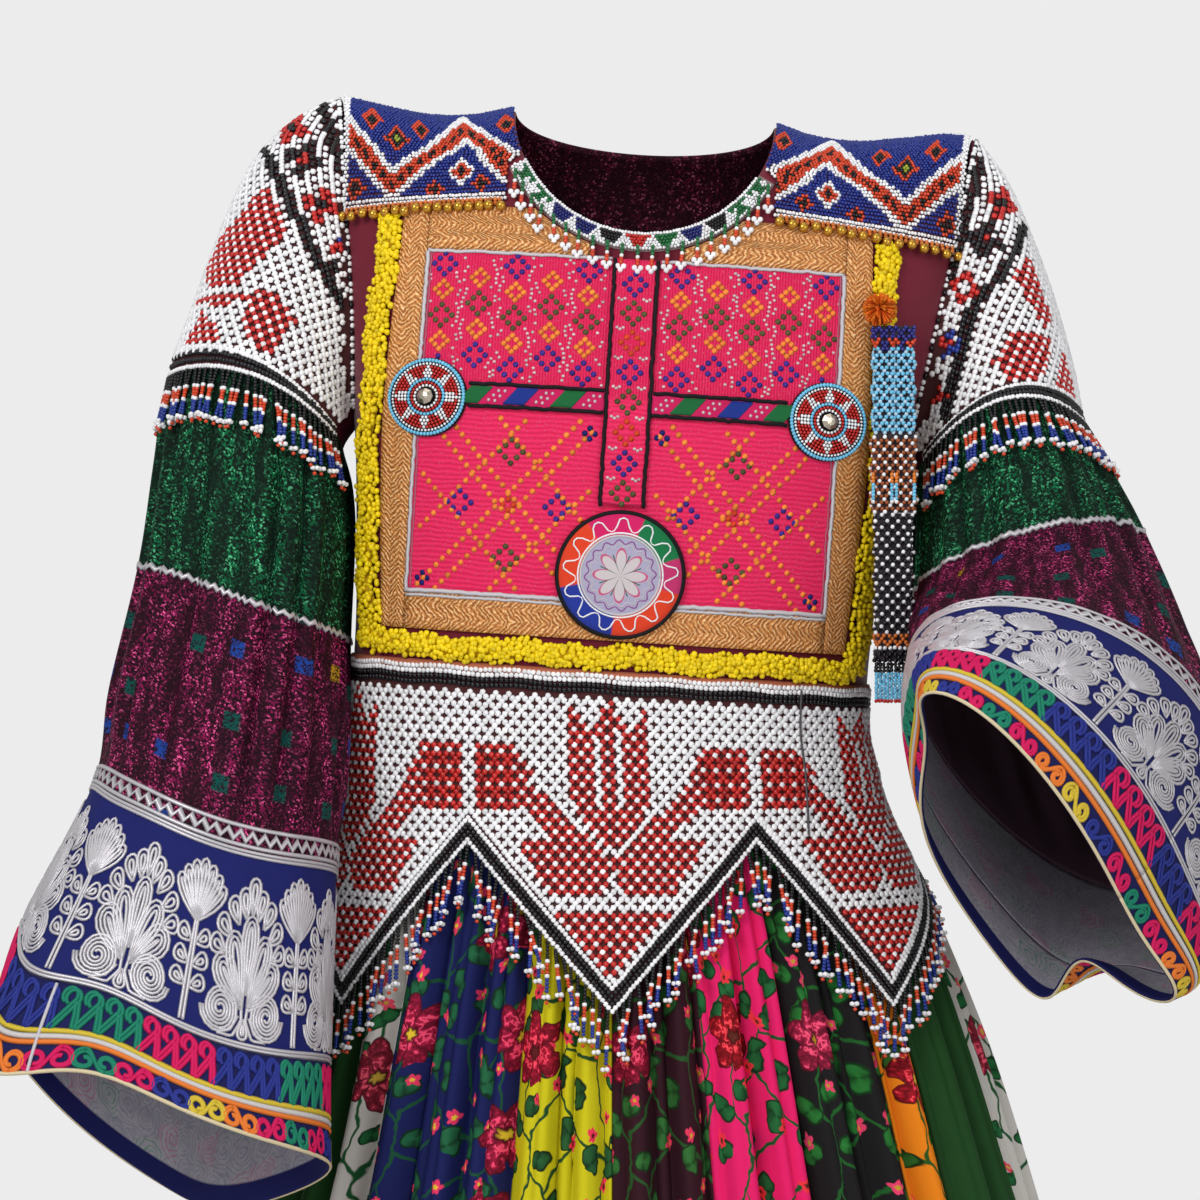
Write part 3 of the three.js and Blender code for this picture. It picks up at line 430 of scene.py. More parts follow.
def new_object(name, points, faces, materials, tints=None, uvs=None, face_materials=None):
    """A mesh object at the origin, from points in millimetres."""
    mesh = bpy.data.meshes.new(name)
    mesh.from_pydata((np.asarray(points) * MM).tolist(), [], np.asarray(faces).tolist())
    mesh.polygons.foreach_set("use_smooth", np.ones(len(mesh.polygons), bool))
    if tints is not None:
        layer = mesh.color_attributes.new("tint", "FLOAT_COLOR", "POINT")
        layer.data.foreach_set("color", np.c_[tints, np.ones(len(tints))].astype(np.float32).ravel())
    if uvs is not None:
        loops = np.zeros(len(mesh.loops), int)
        mesh.loops.foreach_get("vertex_index", loops)
        mesh.uv_layers.new(name="cloth").data.foreach_set("uv", np.asarray(uvs)[loops].ravel())
    for item in materials:
        mesh.materials.append(item)
    if face_materials is not None:
        mesh.polygons.foreach_set("material_index", face_materials)
    mesh.update()
    piece = bpy.data.objects.new(name, mesh)
    bpy.context.scene.collection.objects.link(piece)
    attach(piece, "root")
    return piece


def grid_faces(columns, rows, closed):
    i, j = np.meshgrid(np.arange(columns if closed else columns - 1), np.arange(rows - 1))
    i, j = i.ravel(), j.ravel()
    ahead = (i + 1) % columns
    return np.stack([
        j * columns + i, (j + 1) * columns + i, (j + 1) * columns + ahead, j * columns + ahead], 1)


def cloth(name, patch, outer, node=None, slot=None, rise=0.0, thickness=None, lining=None):
    """A thin sheet on a patch, rise millimetres over it, that stands for a node of the solids."""
    if thickness is None:
        thickness = measure("wall")
    points = patch.points + patch.normals * (rise + thickness)
    across = np.linspace(0, 1, len(patch.us)) * patch.width.mean() * MM
    drops = np.linalg.norm(np.diff(patch.points, axis=0), axis=2).mean(1)
    down = np.concatenate([[0], np.cumsum(drops)]) * MM
    uvs = np.stack(np.meshgrid(across, -down), -1)
    rows, columns = len(patch.vs), len(patch.us)
    faces = grid_faces(columns, rows, False)
    turned = np.cross(patch.points[1, 0] - patch.points[0, 0], patch.points[0, 1] - patch.points[0, 0])
    if np.dot(turned, patch.normals[0, 0]) < 0:
        faces = faces[:, ::-1]
    piece = new_object(name, points.reshape(-1, 3), faces, [outer] + ([lining] if lining else []),
                       uvs=uvs.reshape(-1, 2))
    if patch.closed:
        clean_slate()
        piece.select_set(True)
        bpy.context.view_layer.objects.active = piece
        bpy.ops.object.mode_set(mode="EDIT")
        bpy.ops.mesh.select_all(action="SELECT")
        bpy.ops.mesh.remove_doubles(threshold=1e-6)
        bpy.ops.object.mode_set(mode="OBJECT")
    wall = piece.modifiers.new("wall", "SOLIDIFY")
    wall.thickness = thickness * MM
    wall.offset = -1
    wall.use_even_offset = False
    if lining:
        wall.material_offset = 1
    if node:
        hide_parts(node)
    cells = np.cross(points[1:, 1:] - points[:-1, :-1], points[1:, :-1] - points[:-1, 1:])
    area = np.linalg.norm(cells, axis=2).sum() / 2 * MM**2
    wide = np.linalg.norm(np.diff(points, axis=1), axis=2).sum(1).max() * MM
    long = np.linalg.norm(np.diff(points, axis=0), axis=2).sum(0).max() * MM
    area = min(area, wide * long)
    return piece


def template(segments, rings):
    """Points and faces of one bead, modelled once."""
    clean_slate()
    bpy.ops.mesh.primitive_uv_sphere_add(segments=segments, ring_count=rings, radius=1)
    bead = bpy.context.object
    points = np.array([v.co[:] for v in bead.data.vertices])
    bead.data.calc_loop_triangles()
    faces = np.array([t.vertices[:] for t in bead.data.loop_triangles])
    mesh = bead.data
    bpy.data.objects.remove(bead)
    bpy.data.meshes.remove(mesh)
    return points, faces


def beads(name, centres, normals, radii, tints, material, shape=(6, 3), along=None, squash=0.9, stretch=1.0):
    """Beads joined to one mesh. along is each bead's thread, squash its height and stretch its length."""
    points, faces = template(*shape)
    centres, normals = np.asarray(centres), unit(np.asarray(normals))
    count = len(centres)
    radii = np.broadcast_to(np.asarray(radii, float), (count,))
    guide = np.tile([0.31, 0.11, 0.94], (count, 1)) if along is None else np.asarray(along)
    thread = unit(guide - (guide * normals).sum(1, keepdims=True) * normals)
    side = np.cross(normals, thread)
    x, y, z = points[:, 0], points[:, 1], points[:, 2] * stretch
    local = (
        side[:, None] * x[None, :, None] + normals[:, None] * (y * squash)[None, :, None]
        + thread[:, None] * z[None, :, None]
    )
    mesh_points = centres[:, None] + local * radii[:, None, None]
    mesh_faces = faces[None] + (np.arange(count) * len(points))[:, None, None]
    tints = np.broadcast_to(np.asarray(tints, float), (count, 3))
    return new_object(name, mesh_points.reshape(-1, 3), mesh_faces.reshape(-1, 3), [material],
                      tints=np.repeat(tints, len(points), 0))


def sweep(lines, material, name):
    """Laid cords: each line is points, normals, half width, half height and tint."""
    all_points, all_faces, all_tints = [], [], []
    start = 0
    for points, normals, half_width, half_height, tint in lines:
        ahead = unit(np.gradient(points, axis=0))
        side = unit(np.cross(ahead, normals)) * half_width
        up = unit(normals) * half_height
        ring = np.stack([points + side, points + up, points - side, points - up], 1)
        count = len(points)
        j = np.arange(count - 1)[:, None] * 4
        k = np.arange(4)[None]
        quads = np.stack([j + k, j + (k + 1) % 4, j + 4 + (k + 1) % 4, j + 4 + k], -1).reshape(-1, 4)
        caps = np.array([[3, 2, 1, 0], [4 * count - 4, 4 * count - 3, 4 * count - 2, 4 * count - 1]])
        all_points.append(ring.reshape(-1, 3))
        all_faces.append(np.concatenate([quads, caps]) + start)
        all_tints.append(np.tile(tint, (4 * count, 1)))
        start += 4 * count
    return new_object(name, np.concatenate(all_points), np.concatenate(all_faces), [material],
                      tints=np.concatenate(all_tints))


def inside(x, y, corners):
    """Which points lie in a polygon."""
    found = np.zeros(np.shape(x), bool)
    corners = np.asarray(corners, float)
    for (ax, ay), (bx, by) in zip(corners, np.roll(corners, -1, 0)):
        crosses = (ay > y) != (by > y)
        found ^= crosses & (x < (bx - ax) * (y - ay) / (by - ay + 1e-12) + ax)
    return found


def net(width, length, wide=8.4, tall=10.0):
    """Bead places of a diamond net, one bead on each side of its holes: x, y, and which are crossings."""
    dx, dy = wide / 4, tall / 4
    reach = int(width / dx / 2 + length / dy / 2) + 3
    p, q = np.meshgrid(np.arange(-reach, reach * 2), np.arange(-reach * 2, reach * 2))
    x, y = (p + q) * dx, (p - q) * dy
    keep = ((p % 2 == 0) | (q % 2 == 0)) & (x >= 0) & (x <= width) & (y >= 0) & (y <= length)
    return x[keep], y[keep], ((p % 2 == 0) & (q % 2 == 0))[keep]


def along_line(corners, pitch):
    """Places every pitch along a line through corners."""
    corners = np.asarray(corners, float)
    steps = np.linalg.norm(np.diff(corners, axis=0), axis=1)
    lengths = np.concatenate([[0], np.cumsum(steps)])
    at = np.linspace(0, lengths[-1], max(int(round(lengths[-1] / pitch)), 1) + 1)
    return np.stack([np.interp(at, lengths, corners[:, k]) for k in range(corners.shape[1])], 1)


# Materials

class Shades:
    """A material built from named nodes, with short ways to add and join them."""

    def __init__(self, name, color, roughness, metallic=0.0, sheen=0.0, specular=0.5):
        self.material = bpy.data.materials.new(name)
        self.material.use_nodes = True
        self.nodes = self.material.node_tree.nodes
        self.links = self.material.node_tree.links
        self.surface = self.nodes["Principled BSDF"]
        self.surface.inputs["Base Color"].default_value = (*color, 1)
        self.surface.inputs["Roughness"].default_value = roughness
        self.surface.inputs["Metallic"].default_value = metallic
        self.surface.inputs["Sheen Weight"].default_value = sheen
        self.surface.inputs["Specular IOR Level"].default_value = specular
        self.material.diffuse_color = (*color, 1)

    def node(self, kind, inputs=None, **values):
        made = self.nodes.new(kind)
        for key, value in values.items():
            setattr(made, key, value)
        for key, value in (inputs or {}).items():
            socket = made.inputs[key]
            if isinstance(value, bpy.types.NodeSocket):
                self.links.new(value, socket)
            else:
                socket.default_value = value
        return made

    def math(self, operation, a, b=0.0, c=0.0):
        return self.node("ShaderNodeMath", {0: a, 1: b, 2: c}, operation=operation).outputs[0]

    def mixed(self, share, a, b):
        """Colour a where share is 0, and b where it is 1."""
        made = self.node("ShaderNodeMix", data_type="RGBA", clamp_factor=True)
        for index, value in ((0, share), (6, a), (7, b)):
            if isinstance(value, bpy.types.NodeSocket):
                self.links.new(value, made.inputs[index])
            else:
                made.inputs[index].default_value = value if index == 0 else (*value, 1)
        return made.outputs[2]

    def place(self, scale=1.0, shift=(0, 0, 0)):
        """The piece's own flat cut in millimetres, times scale."""
        source = self.node("ShaderNodeUVMap", uv_map="cloth").outputs[0]
        return self.node("ShaderNodeMapping", {
            "Vector": source, "Scale": (1000 * scale, 1000 * scale, 1), "Location": shift,
        }).outputs[0]

    def cells(self, place, randomness=1.0, feature="F1", distance="EUCLIDEAN"):
        return self.node("ShaderNodeTexVoronoi", {"Vector": place, "Scale": 1.0, "Randomness": randomness},
                         voronoi_dimensions="2D", feature=feature, distance=distance)

    def noise(self, place, scale, detail=2.0):
        return self.node("ShaderNodeTexNoise", {"Vector": place, "Scale": scale, "Detail": detail}).outputs[0]

    def below(self, value, limit, soft=0.05):
        """1 where a value is below a limit, with a soft edge."""
        made = self.node("ShaderNodeMapRange", {
            "Value": value, "From Min": limit - soft, "From Max": limit + soft, "To Min": 1.0, "To Max": 0.0,
        }, clamp=True)
        return made.outputs[0]

    def color(self, socket):
        self.links.new(socket, self.surface.inputs["Base Color"])

    def bump(self, height, distance, strength=1.0):
        made = self.node("ShaderNodeBump", {"Height": height, "Strength": strength, "Distance": distance})
        self.links.new(made.outputs[0], self.surface.inputs["Normal"])


MATERIALS = {}


def finish_named(name, build):
    if name not in MATERIALS:
        MATERIALS[name] = build(name).material
    return MATERIALS[name]


def tinted(name, roughness, metallic=0.0, sheen=0.0, specular=0.5):
    """A finish whose colour is each bead's or cord's own tint."""
    def build(own_name):
        shades = Shades(own_name, (0.6, 0.6, 0.6), roughness, metallic, sheen, specular)
        shades.color(shades.node("ShaderNodeAttribute", attribute_name="tint").outputs["Color"])
        return shades
    return finish_named(name, build)


def glass_beads():
    return tinted("glass_beads", 0.25, specular=0.45)


def couched_cord():
    return tinted("couched_cord", 0.75, specular=0.25)


def silver_cord():
    return tinted("silver_cord", 0.38, metallic=0.35)


def stitched_thread():
    return tinted("stitched_thread", 0.7, specular=0.2)


def plain_cloth(name, color, roughness=0.85, sheen=0.0):
    def build(own_name):
        shades = Shades(own_name, color, roughness, sheen=sheen, specular=0.2)
        place = shades.place(1.0)
        dapple = shades.noise(place, 0.05)
        dark = tuple(part * 0.72 for part in color)
        shades.color(shades.mixed(dapple, dark, color))
        shades.bump(shades.noise(place, 1.1, 1.0), 0.0003, 0.4)
        return shades
    return finish_named(name, build)


def lurex(name, ground, glitter, spots=False):
    """Dark velvet with a glitter thread, and small woven spots where asked for. The glitter specks are the
    thread's colour with its sparkle painted in, and the brightest specks are painted glints.
    """
    def build(own_name):
        shades = Shades(own_name, ground, 0.7, specular=0.12)
        fine = shades.cells(shades.place(0.85))
        speck = shades.node("ShaderNodeSeparateColor", {0: fine.outputs["Color"]}).outputs[0]
        streak = shades.noise(shades.node("ShaderNodeMapping", {
            "Vector": shades.place(1.0), "Scale": (0.085, 0.022, 1)}).outputs[0], 1.0, 3.0)
        dense = shades.node("ShaderNodeMapRange", {
            "Value": streak, "From Min": 0.42, "From Max": 0.66, "To Min": 0.10, "To Max": 0.95}).outputs[0]
        amount = shades.math("MULTIPLY", shades.below(speck, 0.38, 0.16), dense)
        # Painted glints: the brightest specks are lightened far past the thread's own colour.
        painted_glint = tuple(min(2.6 * part + 0.10, 1) for part in glitter)
        bright = shades.mixed(shades.below(speck, 0.09, 0.03), glitter, painted_glint)
        result = shades.mixed(amount, ground, bright)
        if spots:
            squares = shades.cells(shades.place(1 / 46), 0.35, distance="CHEBYCHEV")
            pick = shades.node("ShaderNodeSeparateColor", {0: squares.outputs["Color"]}).outputs[1]
            blue_or_teal = shades.mixed(shades.below(pick, 0.45, 0.02), (0.01, 0.05, 0.28), (0.0, 0.07, 0.06))
            spot = shades.mixed(shades.below(pick, 0.85, 0.02), (0.42, 0.24, 0.01), blue_or_teal)
            worn = shades.math("MULTIPLY", shades.below(squares.outputs["Distance"], 0.135, 0.015),
                               shades.below(speck, 0.66, 0.2))
            worn = shades.math("MULTIPLY", worn, shades.below(pick, 0.93, 0.01))
            result = shades.mixed(worn, result, spot)
        shades.color(result)
        shades.bump(fine.outputs["Distance"], 0.0005, 0.7)
        return shades
    return finish_named(name, build)


def printed(name, ground, petals, hearts, leaves, size=70.0, petal_count=6.0, shift=0.0, density=0.40):
    """Cotton printed with scattered flowers on thin stems among leaves."""
    def build(own_name):
        shades = Shades(own_name, ground, 0.8, specular=0.15)
        place = shades.place(1.0, (shift, shift * 0.7, 0))
        warp = shades.node(
            "ShaderNodeTexNoise", {"Vector": place, "Scale": 0.05, "Detail": 2.0}).outputs["Color"]
        warped = shades.node("ShaderNodeVectorMath", {0: warp, 1: (16, 16, 0), 2: place},
                             operation="MULTIPLY_ADD").outputs[0]

        def bloom(pitch, count, limit, turned, kept):
            cell_place = shades.node("ShaderNodeMapping", {
                "Vector": warped, "Scale": (1 / pitch, 1 / pitch, 1), "Rotation": (0, 0, turned)}).outputs[0]
            cell = shades.cells(cell_place, 0.6)
            away = shades.node("ShaderNodeVectorMath", {0: cell_place, 1: cell.outputs["Position"]},
                               operation="SUBTRACT").outputs[0]
            parts = shades.node("ShaderNodeSeparateXYZ", {0: away}).outputs
            tones = shades.node("ShaderNodeSeparateColor", {0: cell.outputs["Color"]}).outputs
            angle = shades.math("ADD", shades.math("ARCTAN2", parts[1], parts[0]),
                                shades.math("MULTIPLY", tones[0], 6.28))
            wave = shades.math("ABSOLUTE", shades.math("COSINE", shades.math("MULTIPLY", angle, count / 2)))
            edge = shades.math("MULTIPLY_ADD", wave, 0.40 * limit, 0.62 * limit)
            lost = shades.below(shades.math("SUBTRACT", kept, tones[1]), 0.0, 0.001)
            missing = shades.math("MULTIPLY", lost, 9.0)
            reach = shades.math("ADD", shades.math("DIVIDE", cell.outputs["Distance"], edge), missing)
            return reach, wave

        stem_place = shades.node("ShaderNodeMapping", {
            "Vector": warped, "Scale": (1 / (0.6 * size), 1 / (0.85 * size), 1)}).outputs[0]
        stem = shades.cells(stem_place, 1.0, feature="DISTANCE_TO_EDGE").outputs["Distance"]
        stem_color = tuple(0.6 * c for c in leaves)
        result = shades.mixed(shades.below(stem, 0.022, 0.008), ground, stem_color)
        leaf, vein = bloom(size * 0.40, 2.0, density * 0.95, 0.5, 0.62)
        leaf_color = shades.mixed(vein, tuple(0.3 * c for c in leaves), leaves)
        result = shades.mixed(shades.below(leaf, 1.12, 0.05), result, tuple(0.2 * c for c in leaves))
        result = shades.mixed(shades.below(leaf, 0.94, 0.06), result, leaf_color)
        small, _ = bloom(size * 0.33, 5.0, density * 0.62, 1.1, 0.30)
        buds = tuple(min(1.5 * part + 0.02, 1) for part in petals)
        result = shades.mixed(shades.below(small, 1.0, 0.08), result, buds)
        result = shades.mixed(shades.below(small, 0.36, 0.08), result, hearts)
        big, wave = bloom(size, petal_count, density, 0.0, 0.66)
        wander = shades.math("MULTIPLY_ADD", shades.noise(place, 0.18, 2.0), 2.2, big)
        ruffle = shades.math("PINGPONG", wander, 0.5)
        light = tuple(min(1.7 * c + 0.05, 1) for c in petals)
        petal = shades.mixed(shades.math("MULTIPLY", ruffle, 2.0), tuple(0.22 * c for c in petals), petals)
        petal = shades.mixed(shades.below(shades.math("SUBTRACT", ruffle, 0.4), 0.0, 0.04), light, petal)
        petal = shades.mixed(shades.below(wave, 0.2, 0.1), petal, tuple(0.25 * c for c in petals))
        result = shades.mixed(shades.below(big, 1.06, 0.02), result, tuple(0.12 * c for c in petals))
        result = shades.mixed(shades.below(big, 1.0, 0.03), result, petal)
        result = shades.mixed(shades.below(big, 0.26, 0.05), result, tuple(0.12 * c for c in petals))
        result = shades.mixed(shades.below(big, 0.15, 0.05), result, hearts)
        shades.color(result)
        shades.bump(shades.noise(place, 1.4, 1.0), 0.0003, 0.3)
        return shades
    return finish_named(name, build)


def herringbone(name, along):
    """Gold braid woven in a metallic herringbone, with painted shade between its threads, painted light on
    them and painted highlights. along is 0 for an upright length and 1 for a level one.
    """
    def build(own_name):
        shades = Shades(own_name, GOLD, 0.45, metallic=0.15)
        place = shades.place(1.0)
        parts = shades.node("ShaderNodeSeparateXYZ", {0: place}).outputs
        rib = shades.math("PINGPONG", parts[along], 8.0)
        slant = shades.math("ADD", parts[1 - along], shades.math("MULTIPLY", rib, 0.9))
        wander = shades.math("MULTIPLY", shades.noise(place, 0.16, 2.0), 7.0)
        thread = shades.math("PINGPONG", shades.math("ADD", slant, wander), 1.7)
        # Noise that makes the braid brighter or darker in patches.
        patchy_tone = shades.noise(shades.node("ShaderNodeMapping", {
            "Vector": place, "Scale": (0.5, 0.5, 1), "Rotation": (0, 0, 0.7)}).outputs[0], 1.0, 3.0)
        # The threads' relief: it drives the bump, and also darkens the grooves and lightens the threads as
        # painted shade and light.
        bright = shades.math("MULTIPLY_ADD", thread, 0.52, shades.math("MULTIPLY_ADD", patchy_tone, 1.5, -0.66))
        tone = shades.mixed(bright, (0.34, 0.09, 0.018), (0.90, 0.40, 0.10))
        # Painted highlights where the threads are brightest.
        painted_highlight = shades.below(shades.math("SUBTRACT", 0.85, bright), 0.0, 0.10)
        braid_with_painted_highlights = shades.mixed(painted_highlight, tone, (1.0, 0.66, 0.34))
        shades.color(braid_with_painted_highlights)
        shades.bump(bright, 0.0009, 0.9)
        return shades
    return finish_named(name, build)


def reverse_lining(name, facing, length):
    """Pale lining that shows the back of the embroidery, with a navy facing along the hem."""
    def build(own_name):
        shades = Shades(own_name, (0.5, 0.48, 0.5), 0.85, specular=0.15)
        place = shades.place(1.0)
        cell = shades.cells(shades.place(1 / 19), 0.55)
        rings = shades.math("PINGPONG", shades.math("MULTIPLY_ADD", shades.noise(place, 0.10, 2.0), 0.5,
                                                    cell.outputs["Distance"]), 0.075)
        pick = shades.node("ShaderNodeSeparateColor", {0: cell.outputs["Color"]}).outputs[0]
        thread = shades.mixed(shades.below(pick, 0.3, 0.02), (0.20, 0.19, 0.30), (0.50, 0.05, 0.22))
        thread = shades.mixed(shades.below(pick, 0.14, 0.02), thread, (0.02, 0.25, 0.12))
        worn = shades.math("MULTIPLY", shades.below(rings, 0.022, 0.014), 0.55)
        ground = shades.mixed(shades.noise(place, 0.12), (0.26, 0.25, 0.30), (0.50, 0.48, 0.52))
        result = shades.mixed(worn, ground, thread)
        if facing:
            drop = shades.node("ShaderNodeSeparateXYZ", {0: place}).outputs[1]
            result = shades.mixed(shades.below(drop, -(length - facing), 0.6), result, (0.012, 0.014, 0.10))
        shades.color(result)
        return shades
    return finish_named(name, build)


# Netted beads

def jittered(points, amount, seed):
    return points + np.random.default_rng(seed).normal(0, amount, points.shape)


def shaded(tints, spread_of, seed):
    """Tints with each bead a little lighter or darker."""
    tints = np.asarray(tints, float)
    change = 1 + np.random.default_rng(seed).normal(0, spread_of, (len(tints), 1))
    return np.clip(tints * change, 0.002, 1)


def mirrored(polygons):
    return polygons + [[(-x, y) for x, y in polygon] for polygon in polygons]


# One point of the waist panel: red shapes about its middle line, x across and y down from the top.
WAIST_SHAPES = mirrored([
    [(0, 14), (4, 20), (11, 36), (19, 26), (25.5, 18), (25.5, 80), (12, 104), (0, 112)],
    [(60, 58), (66, 74), (0, 140), (0, 118)],
    [(86, 47), (59, 47), (48, 62), (59, 87), (86, 87)],
    [(60, 104), (22, 104), (4, 122), (6, 140), (38, 140)],
    [(0, 152), (35, 152), (0, 192)],
])


WAIST_PLAIN = mirrored([[(5, 36), (8.5, 40), (8.5, 84), (5, 84)], [(30, 82), (34, 82), (7, 112), (3, 112)],
                        [(0, 126), (2.5, 126), (2.5, 152), (0, 152)]])


def make_waist_net():
    """The waist panel's backing, net, borders and chevron rows."""
    half = WAIST_LEG * WAIST_LEGS / 2
    arcs, heights = np.linspace(-half, half, 181), np.linspace(WAIST_TOP, WAIST_TIP - 3, 73)
    drape = Patch(drape_surface, arcs, heights)

    def to_edge(arc, share):
        z = mix(WAIST_TOP, waist_edge(arc), share)
        return drape.at(arc, z)[0]

    backing = Patch(to_edge, np.linspace(-half, half, 145), np.linspace(0, 1, 20))
    cloth("waist_backing", backing, plain_cloth("net_backing", NET_BACKING), node="waist_panel",
          slot="glass_beads", rise=-0.6, thickness=0.8)
    depth = WAIST_TOP - WAIST_TIP
    x, y, crossing = net(2 * half, depth)
    x = x - half
    edge = WAIST_TOP - waist_edge(x)
    slope = math.cos(math.atan2(WAIST_NOTCH - WAIST_TIP, WAIST_LEG))
    keep = (y > 12.5) & (y < edge - 11.5 / slope)
    x, y, crossing = x[keep], y[keep], crossing[keep]
    local = np.mod(x + WAIST_LEG, 2 * WAIST_LEG) - WAIST_LEG
    red, plain = np.zeros(len(x), bool), np.zeros(len(x), bool)
    for polygon in WAIST_SHAPES:
        red |= inside(local, y, polygon)
    for polygon in WAIST_PLAIN:
        plain |= inside(local, y, polygon)
    dotted = crossing & (np.abs(np.abs(local) - 72) > 14.5) | crossing & (np.mod(y, 10) < 2)
    shown = red & ~dotted & ~plain
    white, black = tint_of("white"), tint_of("black")
    tints = np.where(shown[:, None], tint_of("red"), white)
    spread = np.random.default_rng(31).uniform(0, 1, len(x))
    tints[shown & (spread < 0.2)] = (0.34, 0.010, 0.008)
    rows_x, rows_y, rows_tint = [x], [y], [tints]
    for row, tint in ((0.6, white), (3.7, white), (7.0, black), (10.2, black)):
        at = np.arange(-half + 1, half - 1, 3.1) + (row > 3) * 1.4
        rows_x.append(at)
        rows_y.append(row + 0.5 * np.sin(at * 0.13))
        rows_tint.append(np.tile(tint, (len(at), 1)))
    for out, tint in ((1.0, white), (4.1, black), (7.2, black), (10.2, white)):
        corners = [(leg * WAIST_LEG - half, WAIST_TOP - waist_edge(leg * WAIST_LEG - half) - out / slope)
                   for leg in range(WAIST_LEGS + 1)]
        line = along_line(corners, 2.9)
        rows_x.append(line[:, 0])
        rows_y.append(line[:, 1])
        rows_tint.append(np.tile(tint, (len(line), 1)))
    x, y = np.concatenate(rows_x), np.concatenate(rows_y)
    points, normals = drape.at(x, WAIST_TOP - y, 1.0)
    radii = np.where(np.arange(len(x)) < len(rows_x[0]), measure("net_bead"), measure("edge_bead"))
    beads("waist_net", jittered(points, 0.14, 1), normals, radii, shaded(np.concatenate(rows_tint), 0.08, 1),
          glass_beads(), squash=0.66)
    seam = drape.at(np.full(40, 124.0), np.linspace(WAIST_TOP - 2, -446, 40), 2.6)
    piping = drape.at(np.linspace(-half + 4, half - 4, 160), np.full(160, WAIST_TOP + 2.6), 0.6)
    cords = [(*seam, 0.8, 0.5, (0.10, 0.09, 0.10)), (*piping, 3.2, 0.8, (0.44, 0.13, 0.07))]
    sweep(cords, couched_cord(), "waist_panel_seam")


STRAND = [BLACK] * 5 + [WHITE] + [SCARLET] * 3 + [WHITE] + [BLUE] * 4


def hang_strands(name, node, tops, ways, normals, length, lean_out):
    """Strands of beads that hang from tops, each with a cluster at its end."""
    pitch = length / (len(STRAND) + 3.4)
    centres, threads, tints, radii, facing = [], [], [], [], []
    random = np.random.default_rng(len(tops))
    swing = random.normal(0, 0.09, len(tops))
    reach = (1 + random.normal(0, 0.055, len(tops)))[:, None]
    side = np.cross(ways, normals)
    ways = unit(
        ways + side * swing[:, None] + normals * (lean_out + random.uniform(0, 0.05, len(tops))[:, None]))

    def add(along, aside, tint, radius):
        centres.append(tops + ways * pitch * along * reach + aside)
        tints.append(np.tile(tint, (len(tops), 1)))
        radii.append(np.full(len(tops), radius))
        threads.append(ways)
        facing.append(normals)

    for k, tint in enumerate(STRAND):
        add(k + 0.5, 0, tint, 1.75 if tint is WHITE else 1.5)
    for turn in range(3):
        angle = turn * 2 * math.pi / 3
        add(len(STRAND) + 1.1, (side * math.cos(angle) + normals * math.sin(angle)) * 1.75, WHITE, 1.75)
    add(len(STRAND) + 2.6, 0, SCARLET, 1.4)
    piece = beads(name, np.concatenate(centres), np.concatenate(facing), np.concatenate(radii) * 1.1,
                  shaded(np.concatenate(tints), 0.06, 5), glass_beads(), shape=(6, 3),
                  along=np.concatenate(threads), squash=1.0, stretch=0.86)
    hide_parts(node)


def make_waist_fringe():
    half = WAIST_LEG * WAIST_LEGS / 2 - 2
    drape = Patch(drape_surface, np.linspace(-half - 2, half + 2, 181), np.linspace(-440, -600, 60))
    arcs = np.linspace(-half, half, 118)
    tops, normals = drape.at(arcs, waist_edge(arcs) - 0.8, 1.3)
    feet, _ = drape.at(arcs, waist_edge(arcs) - 38.0, 1.3)
    hang_strands("waist_strands", "waist_fringe", tops, unit(feet - tops), normals,
                 measure("waist_fringe"), 0.0)


# The sleeve panels' red shapes as seen from the front: x and z of their corners.
SLEEVE_RED = {
    "right": [
        [(-228.8, -20), (-217.8, -38.3), (-213.6, -54.9), (-243.9, -87.9), (-266, -87.9), (-268.7, -74.2),
         (-260.5, -54.9), (-241.2, -35.6)],
        [(-274, -93), (-216.4, -93), (-213.6, -101), (-274, -100)],
        [(-235.7, -99), (-216.4, -95), (-205.3, -112.7), (-224, -138), (-231.5, -129.3), (-241.2, -115.5)],
        [(-268.7, -103.9), (-255, -118.2), (-255, -126.5), (-281.1, -126.5)],
    ],
    "left": [
        [(262.6, -81.4), (275.7, -65.7), (281, -84), (290.1, -110.3), (283.6, -115.6)],
        [(260, -120.8), (288.8, -120.8), (283.6, -144.4), (267.8, -162.8), (261.3, -157.5), (246.8, -139.2)],
        [(289, -150), (298, -128), (309, -172), (300, -190)],
    ],
}


SLEEVE_LINES = {
    "right": [[(-236, 9), (-230.2, 4.4), (-177.8, -99)], [(-191.5, 34), (-179.2, -8)]],
    "left": [[(244, -4), (228.5, -60.4), (207.5, -120.8)],
             [(272.5, -48), (260, -73.6), (235, -105), (218, -173)]],
}


SLEEVE_FLOWERS = {
    "right": [(-202.6, -4, 13, BLACK, RED), (-190.2, -35.6, 13, RED, BLACK), (-212, 19.5, 13, RED, BLACK),
              (-180.6, -63, 6, BLUE, RED), (-183, -76, 5, BLACK, BLACK)],
    "left": [(245.5, -57.8, 13, BLACK, RED), (257.3, -32, 12, RED, BLACK), (231.1, -89.3, 11, RED, WHITE),
             (219.3, -124.7, 11, BLUE, RED), (211, -157.5, 10, RED, BLACK)],
}


